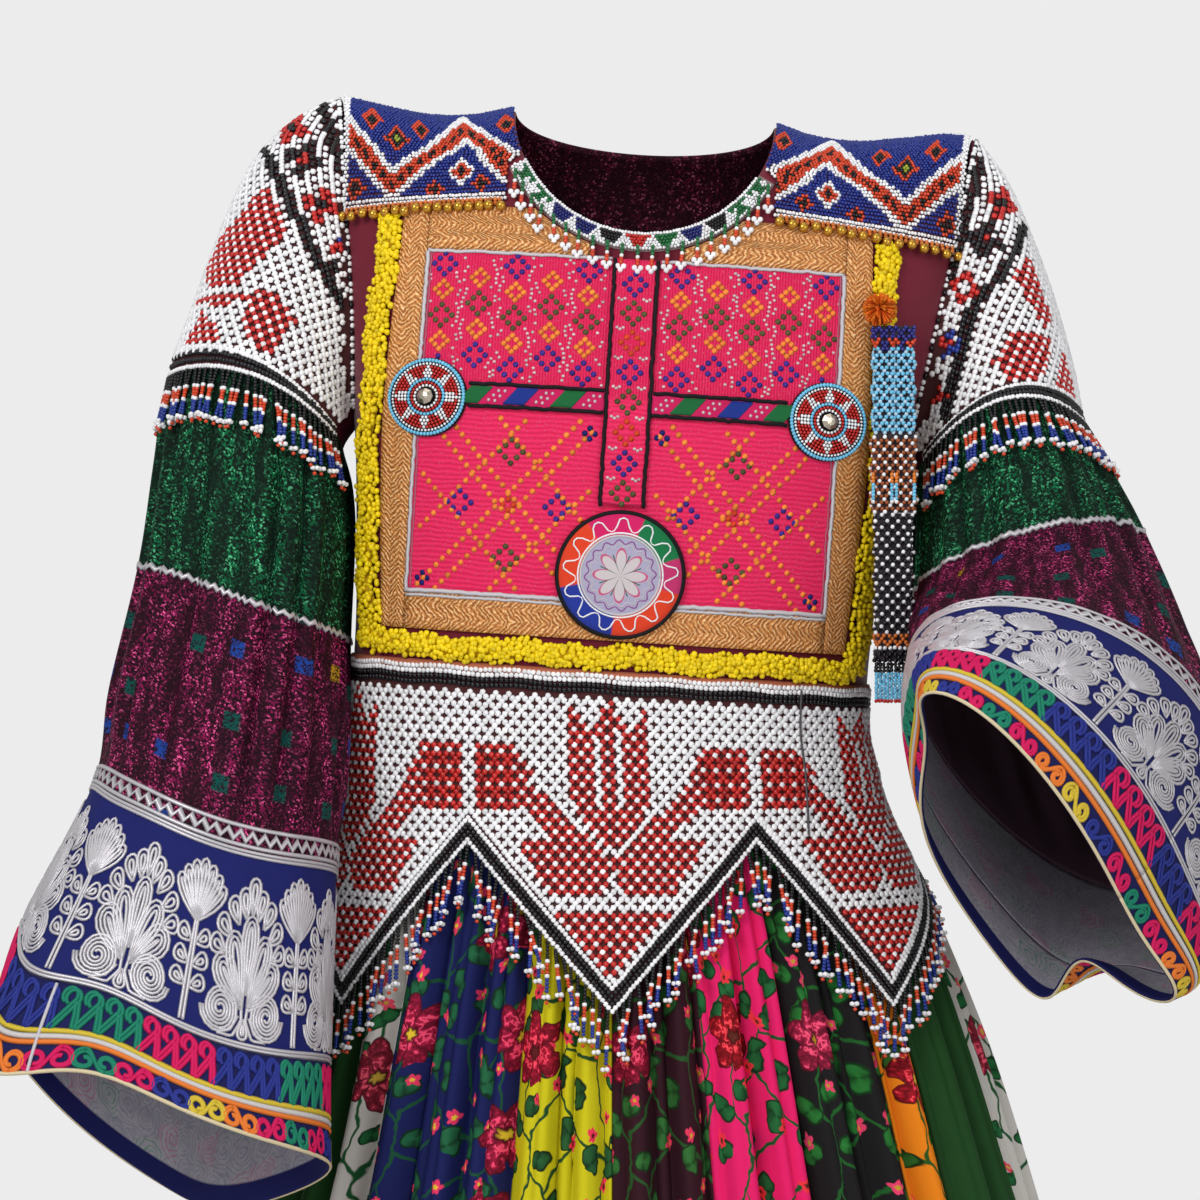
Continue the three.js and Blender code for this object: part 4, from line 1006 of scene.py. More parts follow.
def sleeve_tints(name, points, crossing):
    """Bead colours of a sleeve's panel, from each bead's place seen from the front."""
    x, z = points[:, 0], points[:, 2]
    tints = np.tile(WHITE, (len(x), 1))
    red = np.zeros(len(x), bool)
    for polygon in SLEEVE_RED[name]:
        red |= inside(x, z, polygon)
    tints[red & ~crossing] = RED
    for line in SLEEVE_LINES[name]:
        for (ax, az), (bx, bz) in zip(line, line[1:]):
            along = np.clip(
                ((x - ax) * (bx - ax) + (z - az) * (bz - az)) / ((bx - ax) ** 2 + (bz - az) ** 2), 0, 1)
            tints[np.hypot(x - ax - along * (bx - ax), z - az - along * (bz - az)) < 3.6] = BLACK
    for at_x, at_z, size, petal, heart in SLEEVE_FLOWERS[name]:
        away, angle = np.hypot(x - at_x, z - at_z), np.arctan2(z - at_z, x - at_x)
        tints[away < size * (0.42 + 0.58 * np.abs(np.cos(2 * angle + 0.7)))] = petal
        tints[away < 3.6] = heart
    return tints


def make_sleeve_net(name):
    """A sleeve's netted panel: rows of beads that follow its lower edge, with rows along its edges."""
    hand = HANDS[name]
    patch = Patch(sleeve_surface(name), np.linspace(-BEAD_HALF_TURN, BEAD_HALF_TURN, 121),
                  np.linspace(BEAD_START, BEAD_END, 90), turn=-hand)
    cloth(f"sleeve_{name}_backing", patch, plain_cloth("net_backing", NET_BACKING),
          node=f"sleeve_{name}_beads", slot="glass_beads", rise=1.6, thickness=0.6)
    columns = np.arange(len(patch.us))
    depths = np.arange(len(patch.vs))
    edge = patch.points[-1]
    far = np.linalg.norm(patch.points[:, :, None] - edge, axis=3).min(2)
    u, v, cross = [], [], []
    dx, dy = 2.1, 2.5
    start = patch.points[-1, len(columns) // 2]
    for m in range(int(far.max() / dy)):
        drop = 11.5 + m * dy
        rows = np.array([np.interp(drop, far[::-1, k], depths[::-1]) for k in columns])
        i = np.clip(rows, 0, len(patch.vs) - 1.0001)
        lower = i.astype(int)
        share = (i - lower)[:, None]
        line = patch.points[lower, columns] * (1 - share) + patch.points[lower + 1, columns] * share
        arc = np.concatenate([[0], np.cumsum(np.linalg.norm(np.diff(line, axis=0), axis=1))])
        fine = np.linspace(0, arc[-1], 1200)
        along = np.stack([np.interp(fine, arc, line[:, axis]) for axis in range(3)], 1)
        nearest = np.argmin(np.linalg.norm(along - start, axis=1))
        start = along[nearest]
        arc -= fine[nearest]
        k = np.arange(-130, 131)
        keep = (k % 2 == 1) if m % 2 else (k % 4 == m % 4)
        at = k[keep] * dx
        at = at[(at > arc[0]) & (at < arc[-1])]
        column = np.interp(at, arc, columns)
        shown = far[0, np.round(column).astype(int)] > drop + 2.0
        u.append(column[shown])
        v.append(np.interp(column, columns, rows)[shown])
        cross.append(np.full(shown.sum(), m % 2 == 0))
    u, v, cross = np.concatenate(u), np.concatenate(v), np.concatenate(cross)
    points, normals = patch.blend(u, v, 3.2 + 0 * u)
    tints = [sleeve_tints(name, points, cross)]
    all_points, all_normals, radii = [points], [normals], [np.full(len(points), measure("net_bead"))]
    length, width = patch.length.mean(), patch.width.mean()
    for row, tint in ((1.2, WHITE), (length - 9.4, WHITE), (length - 6.3, BLACK), (length - 3.3, BLACK),
                      (length - 0.4, WHITE)):
        at = np.linspace(0, 1, int(width / 3.1))
        edge_points, edge_normals = patch.share(at, np.full(len(at), row / length), 3.2)
        all_points.append(edge_points)
        all_normals.append(edge_normals)
        radii.append(np.full(len(at), measure("edge_bead")))
        color = np.tile(tint, (len(at), 1))
        if row < 2:
            color[::4] = BLACK
        tints.append(color)
    beads(f"sleeve_{name}_net", jittered(np.concatenate(all_points), 0.14, 2), np.concatenate(all_normals),
          np.concatenate(radii), shaded(np.concatenate(tints), 0.08, 2), glass_beads(), squash=0.66)


def make_sleeve_fringe(name):
    hand = HANDS[name]
    patch = Patch(sleeve_surface(name), np.linspace(-BEAD_HALF_TURN, BEAD_HALF_TURN, 61),
                  np.linspace(4.9, 6, 16), turn=-hand)
    degrees = np.linspace(-BEAD_HALF_TURN + 2, BEAD_HALF_TURN - 2, 74)
    tops, normals = patch.at(degrees, np.full(len(degrees), 5.02), 3.4)
    feet, _ = patch.at(degrees, np.full(len(degrees), 6.0), 3.4)
    hang_strands(f"sleeve_{name}_strands", f"sleeve_{name}_fringe", tops, unit(feet - tops), normals,
                 measure("sleeve_fringe"), 0.05)


def make_sleeve_nets():
    for name in HANDS:
        make_sleeve_net(name)


def make_sleeve_fringes():
    for name in HANDS:
        make_sleeve_fringe(name)


# The embroidered front

def front_patch(left, right, top, bottom, columns=40, rows=40):
    """A patch of the chest between two sides, each a number or a function of height."""
    def side_at(side, z):
        return side(z) if callable(side) else side

    def surface(share, z):
        return front_point(mix(side_at(left, z), side_at(right, z), share), z + 0 * share)

    return Patch(surface, np.linspace(0, 1, columns), np.linspace(top, bottom, rows))


def trim_edge(z):
    return read_table(TRIM_EDGE, 1, z)


def neck_reach(z, width):
    share = (NECK_TOP - z) / (NECK_TOP - NECK_FRONT + width)
    return (NECK_HALF + width) * np.sqrt(np.maximum(1 - share**2, 0))


CHEST_FIELD = Patch(
    lambda x, z: front_point(x, z + 0 * x), np.linspace(-178, 178, 240), np.linspace(20, -345, 200))


def chest_place(x, z, out):
    """Points and normals on the bodice's front, out millimetres off it."""
    return CHEST_FIELD.at(x, z, out)


def cross_stitches():
    """Counted stitches of the chest panel and placket, as places and tints on the flat cut."""
    x, z, tints = [], [], []
    olive, violet, amber = (0.09, 0.085, 0.03), (0.05, 0.025, 0.24), (0.86, 0.24, 0.04)
    random = np.random.default_rng(17)

    def add(px, pz, tint):
        x.append(np.atleast_1d(px).astype(float))
        z.append(np.atleast_1d(pz).astype(float))
        tints.append(np.tile(tint, (len(x[-1]), 1)))

    def ring(across, height, reach_x, reach_z, tint, count=8):
        turn = np.arange(count) * 2 * math.pi / count
        square = 1 / (np.abs(np.cos(turn)) + np.abs(np.sin(turn)))
        add(across + reach_x * square * np.cos(turn), height + reach_z * square * np.sin(turn), tint)

    for side in (-1, 1):
        top, bottom, pitch = CHEST_TOP, TAB_Z + 9, 23.2
        for lane in range(6):
            down = np.arange(4, top - bottom, 2.9)
            wave = np.abs(np.mod(down / 8.4 + lane, 2) - 1) * 2 - 1
            for hand in (-1, 1):
                across = 18.2 + lane * pitch + wave * 1.6 + hand * (1.2 + 1.6 * np.abs(wave))
                across = across + random.normal(0, 0.3, len(down))
                keep = (across > 17.5) & (across < 131.5) & (random.uniform(0, 1, len(down)) < 0.62)
                add(side * across[keep], top - down[keep] + hand * 0.9, PALE_STITCH)
        for lane in range(5):
            for k in range(6):
                height = top - 9 - k * 16.8 - (lane % 2) * 8.4
                tint = amber if (k + lane) % 2 else (violet, olive)[(k // 2 + lane) % 2]
                if height > bottom + 4:
                    reach = 5.2 if tint is amber else 6.8
                    ring(side * (18.2 + (lane + 0.5) * pitch), height, reach, reach, tint)
        top, bottom = TAB_Z - 9, CHEST_BOTTOM
        middle_z = (top + bottom) / 2
        for slope in (-1, 1):
            for shift in (-7.5, 7.5, -45, 45):
                run = np.arange(-58, 58, 3.9)
                across, height = 72 + run, middle_z + slope * (run * 1.12 + shift)
                keep = (across > 19) & (across < 131) & (height < top - 2) & (height > bottom + 3)
                add(side * across[keep] + random.normal(0, 0.2, keep.sum()), height[keep], amber)
        for across, height, tint, reach in ((72, 34, olive, 7.4), (72, -34, olive, 7.4), (41, 0, violet, 7.4),
                                            (103, 0, violet, 7.4), (23, 48, NAVY, 3.2),
                                            (124, -50, NAVY, 3.2)):
            ring(side * across, middle_z + height, reach, reach, tint, 8 if reach > 5 else 4)
        ring(side * 72, middle_z, 3.4, 3.4, (0.62, 0.05, 0.015), 4)
    for k, down in enumerate(np.arange(16, 150, 19.0)):
        ring(0, -76 - down, 6.8, 6.8, (violet, olive, SCARLET)[k % 3])
        for hand in (-1, 1):
            add(hand * np.array([10.0, 8.0, 6.0]), -76 - down - np.array([9.5, 10.5, 9.5]), PALE_STITCH)
    return np.concatenate(x), np.concatenate(z), np.concatenate(tints)


def ribbed(name):
    """Hot pink ribbed cloth: upright ribs above the tabs and level ones below, with painted shade in the
    ribs' grooves and painted light on their ridges.
    """
    def build(own_name):
        shades = Shades(own_name, (0.76, 0.016, 0.10), 0.8, specular=0.2)
        parts = shades.node("ShaderNodeSeparateXYZ", {0: shades.place(1.0)}).outputs
        wander = shades.math("MULTIPLY", shades.noise(shades.place(1.0), 0.05, 2.0), 5.0)
        upright = shades.math("PINGPONG", parts[0], 0.95)
        level = shades.math("PINGPONG", shades.math("ADD", parts[1], wander), 1.6)
        lower = shades.below(parts[1], TAB_Z - CHEST_TOP, 2.0)
        level = shades.math("MULTIPLY_ADD", level, 0.42, 0.3)
        rib = shades.math("ADD", shades.math("MULTIPLY", level, lower),
                          shades.math("MULTIPLY", upright, shades.math("SUBTRACT", 1.0, lower)))
        flecks = shades.noise(shades.place(1.0), 0.8, 2.0)
        # Painted shade and light: darker in the grooves, lighter on the ridges of the ribs.
        tone = shades.mixed(rib, (0.58, 0.006, 0.055), (0.86, 0.026, 0.13))
        tone = shades.mixed(shades.below(flecks, 0.36, 0.03), tone, (0.62, 0.10, 0.17))
        shades.color(tone)
        shades.bump(rib, 0.0007, 0.8)
        return shades
    return finish_named(name, build)


def make_chest():
    """The chest panel, the placket and the tabs, with their stitches and laid cords."""
    pink = ribbed("rose_cloth")
    panel = front_patch(-CHEST_HALF, CHEST_HALF, CHEST_TOP, CHEST_BOTTOM, 70, 50)
    cloth("chest_cloth", panel, pink, node="chest_panel", slot="rose_cloth", rise=OVERLAY)
    strip = front_patch(-14, 14, -76, -233, 10, 40)
    cloth("placket_cloth", strip, pink, node="placket", slot="rose_cloth", rise=TOP_LAYER)
    x, z, tints = cross_stitches()
    raised = np.where(np.abs(x) < 14, TOP_LAYER + CLOTH, OVERLAY + CLOTH) + 0.15
    keep = (np.hypot(x - 2, z + 277) > 42) & (np.hypot(np.abs(x) - 127, z + 171) > 25)
    keep &= (z < CHEST_TOP - 2) & (z > CHEST_BOTTOM + 2) & ((np.abs(x) > 16.5) | (z > -232))
    dotted = (tints == PALE_STITCH).all(1)
    for name, shown, size, turn in (("chest_dots", dotted, 1.15, 0.0), ("chest_stitches", ~dotted, 2.1, 1.0)):
        chosen = keep & shown
        points, normals = chest_place(x[chosen], z[chosen], raised[chosen])
        beads(name, points, normals, size, shaded(tints[chosen], 0.10, 3), stitched_thread(), shape=(4, 3),
              along=unit(np.tile([1.0, 0, turn], (len(points), 1))), squash=0.4 / size)
    cords = []

    def line(corners, out, half_width, half_height, tint, wobble=0.25):
        places = along_line(corners, 3.0)
        places = places + np.random.default_rng(len(cords)).normal(0, wobble, places.shape)
        cords.append((*chest_place(places[:, 0], places[:, 1], out), half_width, half_height, tint))

    blocks = ((38, GREEN), (68, BLUE), (97, GREEN))
    spots = []
    for side in (-1, 1):
        name = "left" if side > 0 else "right"
        tab = front_patch(min(side * 14.6, side * 100), max(side * 14.6, side * 100), -160, -177, 30, 8)
        cloth(f"tab_{name}_cloth", tab, plain_cloth("tab_pink", (0.62, 0.014, 0.11)), node=f"tab_{name}",
              slot="black_cloth", rise=TOP_LAYER)
        for row in (-161.6, -175.6):
            line([(side * 15.5, row), (side * 101, row)], TOP_LAYER + CLOTH + 0.5, 1.3, 1.0, BLACK)
        for across, tint in blocks:
            for shift in np.linspace(-6, 6, 11):
                slant = np.linspace(-5.4, 5.4, 7)
                cords.append((*chest_place(side * (across + shift) + slant * 0.85, TAB_Z + slant,
                                           TOP_LAYER + CLOTH + 0.25), 0.75, 0.5, tint))
        for across in (23, 53, 83):
            for offset in ((-5, 3), (-2, 0), (1, -3), (-1, 3.4), (2, 0.4), (5, -3)):
                spots.append((side * across + offset[0], TAB_Z - offset[1]))
        line([(side * 13.8, -76), (side * 13.8, -234)], TOP_LAYER + CLOTH + 0.3, 1.3, 1.1, BLACK)
        line([(side * 134, -76), (side * 134, -296)], OVERLAY + CLOTH + 0.3, 1.5, 0.8, SILVER)
        line([(side * 131.5, -77), (side * 131.5, -294)], OVERLAY + CLOTH + 0.3, 0.7, 0.6, (0.42, 0.10, 0.16))
        line([(side * 16, -75.5), (side * 134, -75.5)], OVERLAY + CLOTH + 0.3, 1.2, 0.8, SILVER)
    line([(-134, -295), (134, -295)], OVERLAY + CLOTH + 0.3, 1.5, 0.8, SILVER)
    line([(-134, -298), (134, -298)], OVERLAY + CLOTH + 0.3, 1.0, 0.8, SILVER)
    sweep(cords, couched_cord(), "chest_cords")
    spots = np.array(spots)
    points, normals = chest_place(spots[:, 0], spots[:, 1], np.full(len(spots), TOP_LAYER + CLOTH + 0.2))
    beads("tab_dots", points, normals, 1.15, PALE_STITCH, stitched_thread(), shape=(4, 3), squash=0.4)


def make_braids():
    """The gold braids: uprights at the sides, a cross piece below and two short ones above."""
    gold, level = herringbone("gold_braid", 0), herringbone("gold_braid_level", 1)
    low = front_patch(-CHEST_HALF, CHEST_HALF, CHEST_BOTTOM - 0.3, BRAID_BOTTOM, 50, 8)
    cloth("braid_bottom_cloth", low, level, node="braid_bottom", slot="gold_braid", rise=OVERLAY)
    for name, side in HANDS.items():
        inner, outer = side * (CHEST_HALF + 0.3), lambda z, s=side: s * (trim_edge(z) - 0.3)
        ends = (inner, outer) if side > 0 else (outer, inner)
        upright = front_patch(*ends, BRAID_TOP + 5, BRAID_BOTTOM, 8, 60)
        cloth(f"braid_{name}_cloth", upright, gold, node=f"braid_{name}", slot="gold_braid", rise=OVERLAY)
        reach = (lambda z, s=side: s * np.maximum(neck_reach(z, 13.5), 30), side * CHEST_HALF)
        ends = reach if side > 0 else reach[::-1]
        top = front_patch(*ends, BRAID_TOP + 5, CHEST_TOP + 0.3, 30, 8)
        cloth(f"braid_top_{name}_cloth", top, level,
              node=f"braid_top_{name}", slot="gold_braid", rise=OVERLAY)


def make_ropes():
    """The bead rope round the braid: yellow beads packed on a cord."""
    random = np.random.default_rng(7)
    for name, side in (*HANDS.items(), ("bottom", 0)):
        if side:
            z = np.linspace(TRIM_TOP, TRIM_BOTTOM + TRIM_WIDTH * 0.4, 108)
            middle_x, middle_z = side * (trim_edge(z) + TRIM_WIDTH / 2), z
            across = (1, 0)
        else:
            middle_x = np.linspace(-trim_edge(-331) - 6, trim_edge(-331) + 6, 120)
            middle_z = np.full(len(middle_x), TRIM_BOTTOM + TRIM_WIDTH / 2)
            across = (0, 1)
        count = len(middle_x)
        sway = 1.1 * np.sin(np.arange(count) * 0.21 + side) + 0.7 * np.sin(np.arange(count) * 0.53)
        spots_x, spots_z, out = [], [], []
        for lane in range(6):
            aside = (lane - 2.5) / 2.5
            shift = random.normal(0, 0.75, (2, count))
            spots_x.append(middle_x + across[0] * (aside * 6.2 + sway) + shift[0])
            spots_z.append(middle_z + across[1] * (aside * 6.2 + sway) + shift[1])
            domed = ROPE_START - 1.0 + ROPE_THICKNESS * np.sqrt(1 - 0.8 * aside**2)
            out.append(domed + random.normal(0, 0.5, count))
        points, normals = chest_place(np.concatenate(spots_x), np.concatenate(spots_z), np.concatenate(out))
        tints = shaded(np.tile(tint_of("yellow"), (len(points), 1)), 0.10, 11)
        radii = random.normal(measure("rope_bead"), 0.16, len(points))
        piece = beads(f"rope_{name}", points, normals, radii, tints,
                      tinted("yellow_beads", 0.35, specular=0.35), shape=(6, 4), squash=1.0)
        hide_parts(f"trim_{name}")
        cord = (*chest_place(
            middle_x + across[0] * sway, middle_z + across[1] * sway, ROPE_START + 0.2), 6.2, 2.0,
                (0.50, 0.30, 0.004))
        sweep([cord], couched_cord(), f"rope_{name}_cord")


def bead_ring(centre_x, centre_z, radius, out, pitch=2.1):
    count = max(int(2 * math.pi * radius / pitch), 5)
    turn = np.arange(count) * 2 * math.pi / count
    return chest_place(
        centre_x + radius * np.cos(turn), centre_z + radius * np.sin(turn), np.full(count, out)), turn


def disc_cloth(name, centre_x, centre_z, radius, start, height, material, node):
    """A small domed disc on the chest, closed underneath."""
    def surface(turn, share):
        x, z = centre_x + radius * share * np.sin(turn), centre_z + radius * share * np.cos(turn)
        points, normals = chest_place(x, z, start + height * (1 - 0.5 * share**2) * (share < 1.005))
        return points

    shares = np.linspace(0.02, 1, 8)
    turns = np.linspace(0, 2 * math.pi, 49)
    rows = [surface(turns, share) for share in shares]
    foot = chest_place(centre_x + radius * np.sin(turns), centre_z + radius * np.cos(turns), start)[0]
    back = chest_place(
        centre_x + 0.02 * radius * np.sin(turns), centre_z + 0.02 * radius * np.cos(turns), start)[0]
    grid = np.array(rows + [foot, back])[:, :-1]
    columns, count = grid.shape[1], grid.shape[0]
    faces = grid_faces(columns, count, True)
    first = [np.arange(columns).tolist()]
    last = [((count - 1) * columns + np.arange(columns))[::-1].tolist()]
    flat = np.array([[centre_x + radius * s * math.sin(t), centre_z + radius * s * math.cos(t)]
                     for s in (*shares, 1, 0.02) for t in turns[:-1]])
    mesh = bpy.data.meshes.new(name)
    mesh.from_pydata((grid.reshape(-1, 3) * MM).tolist(), [], faces.tolist() + first + last)
    mesh.polygons.foreach_set("use_smooth", np.ones(len(mesh.polygons), bool))
    loops = np.zeros(len(mesh.loops), int)
    mesh.loops.foreach_get("vertex_index", loops)
    uvs = (flat - [centre_x, centre_z]) * MM
    mesh.uv_layers.new(name="cloth").data.foreach_set("uv", uvs[loops].ravel())
    mesh.materials.append(material)
    piece = bpy.data.objects.new(name, mesh)
    bpy.context.scene.collection.objects.link(piece)
    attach(piece, "root")
    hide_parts(node)
    clean_slate()
    piece.select_set(True)
    bpy.context.view_layer.objects.active = piece
    bpy.ops.object.mode_set(mode="EDIT")
    bpy.ops.mesh.select_all(action="SELECT")
    bpy.ops.mesh.normals_make_consistent(inside=False)
    bpy.ops.object.mode_set(mode="OBJECT")
    return piece


def make_medallions():
    felt = plain_cloth("black_felt", (0.012, 0.01, 0.012))
    for name, side in HANDS.items():
        x, z = side * 127, -171
        disc_cloth(f"medallion_{name}_felt", x, z, 25, TOP_LAYER, 2.0, felt,
                   f"medallion_{name}")
        places, facing, tints, radii = [], [], [], []
        rings = ((23.3, SKY, 1.35), (21.0, WHITE, 0.9), (19.0, RED, 1.1), (17.0, RED, 1.1), (15.0, RED, 1.1),
                 (13.0, RED, 1.1), (11.0, SKY, 1.2), (8.9, RED, 1.1), (7.0, WHITE, 1.0))
        for radius, tint, size in rings:
            (points, normals), turn = bead_ring(x, z, radius, TOP_LAYER + 2.9 - 0.8 * (radius / 25) ** 2)
            colors = np.tile(tint, (len(points), 1))
            if 12 < radius < 20:
                spread = (radius - 12) / 8
                colors[np.abs(np.mod(turn * 8 / (2 * math.pi) + 0.5, 1) - 0.5) < 0.30 - 0.20 * spread] = WHITE
            places.append(points)
            facing.append(normals)
            tints.append(colors)
            radii.append(np.full(len(points), size))
        beads(f"medallion_{name}_beads", np.concatenate(places), np.concatenate(facing),
              np.concatenate(radii),
              shaded(np.concatenate(tints), 0.06, 9), glass_beads(), shape=(6, 4))
        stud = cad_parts[f"stud_{name}"]
        stud.data.materials.clear()
        stud.data.materials.append(finish_named(
            "dome_metal", lambda own: Shades(own, (0.62, 0.55, 0.44), 0.28, metallic=1.0)))


def rosette_felt(name):
    """Felt of the centre rosette: coloured sectors round a pale middle with a petalled flower."""
    def build(own_name):
        shades = Shades(own_name, (0.45, 0.02, 0.06), 0.85, sheen=0.2, specular=0.2)
        parts = shades.node("ShaderNodeSeparateXYZ", {0: shades.place(1.0)}).outputs
        reach = shades.math("SQRT", shades.math("ADD", shades.math("MULTIPLY", parts[0], parts[0]),
                                                shades.math("MULTIPLY", parts[1], parts[1])))
        angle = shades.math("ARCTAN2", parts[1], parts[0])
        ring = (0.72, 0.05, 0.015)
        sectors = [(-2.88, ring), (-1.66, (0.015, 0.035, 0.30)), (-0.26, ring), (0.35, (0.52, 0.03, 0.14)),
                   (1.22, (0.006, 0.17, 0.055)), (2.18, (0.62, 0.012, 0.12))]
        result = ring
        for limit, tint in reversed(sectors):
            result = shades.mixed(shades.below(angle, limit, 0.015), result, tint)
        fan = shades.math("ABSOLUTE", shades.math("COSINE", shades.math("MULTIPLY", angle, 4.0)))
        petal_edge = shades.math("MULTIPLY_ADD", fan, 9.0, 8.0)
        petal = shades.below(shades.math("SUBTRACT", reach, petal_edge), 0.0, 0.6)
        outline = shades.below(shades.math("ABSOLUTE", shades.math("SUBTRACT", reach, petal_edge)), 0.8, 0.4)
        pale = shades.mixed(petal, (0.40, 0.38, 0.52), (0.60, 0.54, 0.56))
        pale = shades.mixed(outline, pale, (0.55, 0.08, 0.20))
        rays = shades.below(fan, 0.12, 0.06)
        near = shades.math("MULTIPLY", rays, shades.below(reach, 14.0, 0.5))
        pale = shades.mixed(near, pale, (0.02, 0.12, 0.04))
        result = shades.mixed(shades.below(reach, 25.0, 0.4), result, pale)
        shades.color(result)
        shades.bump(shades.noise(shades.place(1.0), 1.2), 0.0004, 0.5)
        return shades
    return finish_named(name, build)


def make_rosette():
    felt = disc_cloth("rosette_felt", 2, -277, 41, TOP_LAYER, 4.6, rosette_felt("rosette_felt"), "rosette")
    turn = np.linspace(0, 2 * math.pi, 97)
    cords = []

    def ring(radius, out, half, tint, wobble=0.0, waves=0):
        reach = radius + wobble * np.sign(np.sin(turn * waves)) * np.abs(np.sin(turn * waves)) ** 0.5
        points, normals = chest_place(2 + reach * np.cos(turn), -277 + reach * np.sin(turn), out)
        cords.append((points, normals, half, half * 0.8, tint))

    def bulge(radius):
        return TOP_LAYER + 4.6 * (1 - 0.5 * (radius / 41) ** 2)

    ring(40.2, TOP_LAYER + 2.2, 1.5, BLACK)
    ring(27.0, bulge(27) + 0.1, 0.6, WHITE)
    ring(25.2, bulge(25), 0.8, SILVER)
    ring(32.5, bulge(32) + 0.1, 0.55, WHITE, 4.2, 13)
    for radius, tint in ((21.5, (0.30, 0.10, 0.30)), (19.0, (0.55, 0.50, 0.55))):
        ring(radius, bulge(radius), 0.45, tint, 1.3, 16)
    sweep(cords, couched_cord(), "rosette_cords")


# Yokes and neck band

def yoke_tints(across, down, wide, tall):
    """Colours of the yoke's beads: a broad zigzag between blue triangles filled with small diamonds.
    across runs from the armhole to the neck and down from the shoulder line, both as seen from the front."""
    wave = np.interp(across, [0, 0.30, 0.70, 1.0], [0.27, 0.80, 0.15, 0.68])
    off = np.abs(down - wave)
    tints = np.tile((0.008, 0.024, 0.22), (len(across), 1))
    tints[off < 0.185] = WHITE
    tints[off < 0.098] = SCARLET
    step = np.mod(across * wide, 6.4)
    tints[(off < 0.035) & (step < 3.4)] = BLACK

    def diamond(at_x, at_y, size, *rings):
        away = np.abs(across - at_x) * wide + np.abs(down - at_y) * tall
        for share, tint in rings:
            tints[(away < size * share) & (off > 0.185)] = tint

    rim = ((1.0, SCARLET), (0.55, BLACK))
    diamond(0.30, 0.31, 9.0, (1.0, SCARLET), (0.68, BLACK), (0.36, (0.30, 0.36, 0.02)))
    diamond(0.155, 0.14, 7.2, *rim)
    diamond(0.44, 0.17, 7.2, *rim)
    diamond(0.96, 0.16, 7.2, *rim)
    diamond(0.72, 0.66, 11.0, (1.0, WHITE), (0.62, SCARLET), (0.30, BLACK))
    diamond(0.85, 0.80, 7.2, *rim)
    diamond(0.56, 0.85, 7.2, *rim)
    diamond(0.07, 0.82, 8.0, *rim)
    tints[(down > 0.925) | (across < 0.022)] = WHITE
    return tints


def make_yokes():
    """The shoulder yokes: netted beads on a backing, with short orange beads and gilt beads below."""
    for name, side in HANDS.items():
        outer = 196 + float(widening(side, -48)) + 5

        def surface(across, down, s=side, outer_x=outer):
            low = mix(-39, -48, across)
            top = shoulder_z(mix(87.5, outer_x, across)) - 0.3
            z = mix(top, low, down**1.8)
            inner = mix(87.5, np.clip(neck_reach(z, 1.5), 78, 87.5), smooth(z, -16, -6))
            x = mix(inner, outer_x - 9 * down, across)
            return front_point(s * x, np.minimum(z, shoulder_z(x) - 0.3))

        patch = Patch(surface, np.linspace(0, 1, 60), np.linspace(0, 1, 50), turn=side)
        cloth(f"yoke_{name}_backing", patch, plain_cloth("yoke_backing", (0.10, 0.03, 0.03)),
              node=f"yoke_{name}", slot="glass_beads", rise=OVERLAY - 0.6, thickness=0.8)
        width, length = patch.width.mean(), patch.length.mean()
        pitch = 2.35
        columns, rows = int(width / pitch), int(length / (pitch * 0.92))
        i, j = np.meshgrid(np.arange(columns + 1), np.arange(rows + 1))
        i, j = i.ravel(), j.ravel()
        across, down = (i + 0.5 * (j % 2)) / (columns + 0.5), j / rows
        points, normals = patch.share(across, down, OVERLAY + 1.0)
        top, low = patch.share(across, 0 * down)[0][:, 2], patch.share(across, 0 * down + 1)[0][:, 2]
        tints = yoke_tints(1 - across, (top - points[:, 2]) / (top - low), width, (top - low).mean())
        tints[j < 3] = WHITE
        beads(f"yoke_{name}_net", jittered(points, 0.16, 4), normals, 1.36,
              shaded(tints, 0.08, 4), glass_beads())
        at = np.linspace(0.03, 0.97, 34)
        edge, out = patch.share(at, np.full(34, 1.0), OVERLAY + 2.0)
        drops = np.concatenate([edge + np.array([0, -0.6, -1.4]), edge + np.array([0, -1.2, -3.6])])
        beads(f"yoke_{name}_edge", jittered(drops, 0.15, 5), np.tile(out, (2, 1)), 1.6,
              shaded(np.tile((0.56, 0.15, 0.02), (68, 1)), 0.12, 6), glass_beads(), shape=(6, 4))
        at = np.linspace(0.02, 0.99, 16)
        edge, out = patch.share(at, np.full(16, 1.0), OVERLAY + 4.2)
        lowered = edge + np.array([0, -1.6, -6.6]) + np.random.default_rng(side + 3).normal(0, 0.5, (16, 3))
        beads(f"yoke_{name}_gilt", lowered, out, 3.4, (0.56, 0.30, 0.04),
              tinted("gilt_beads", 0.26, metallic=0.85), shape=(12, 8), squash=1.0)


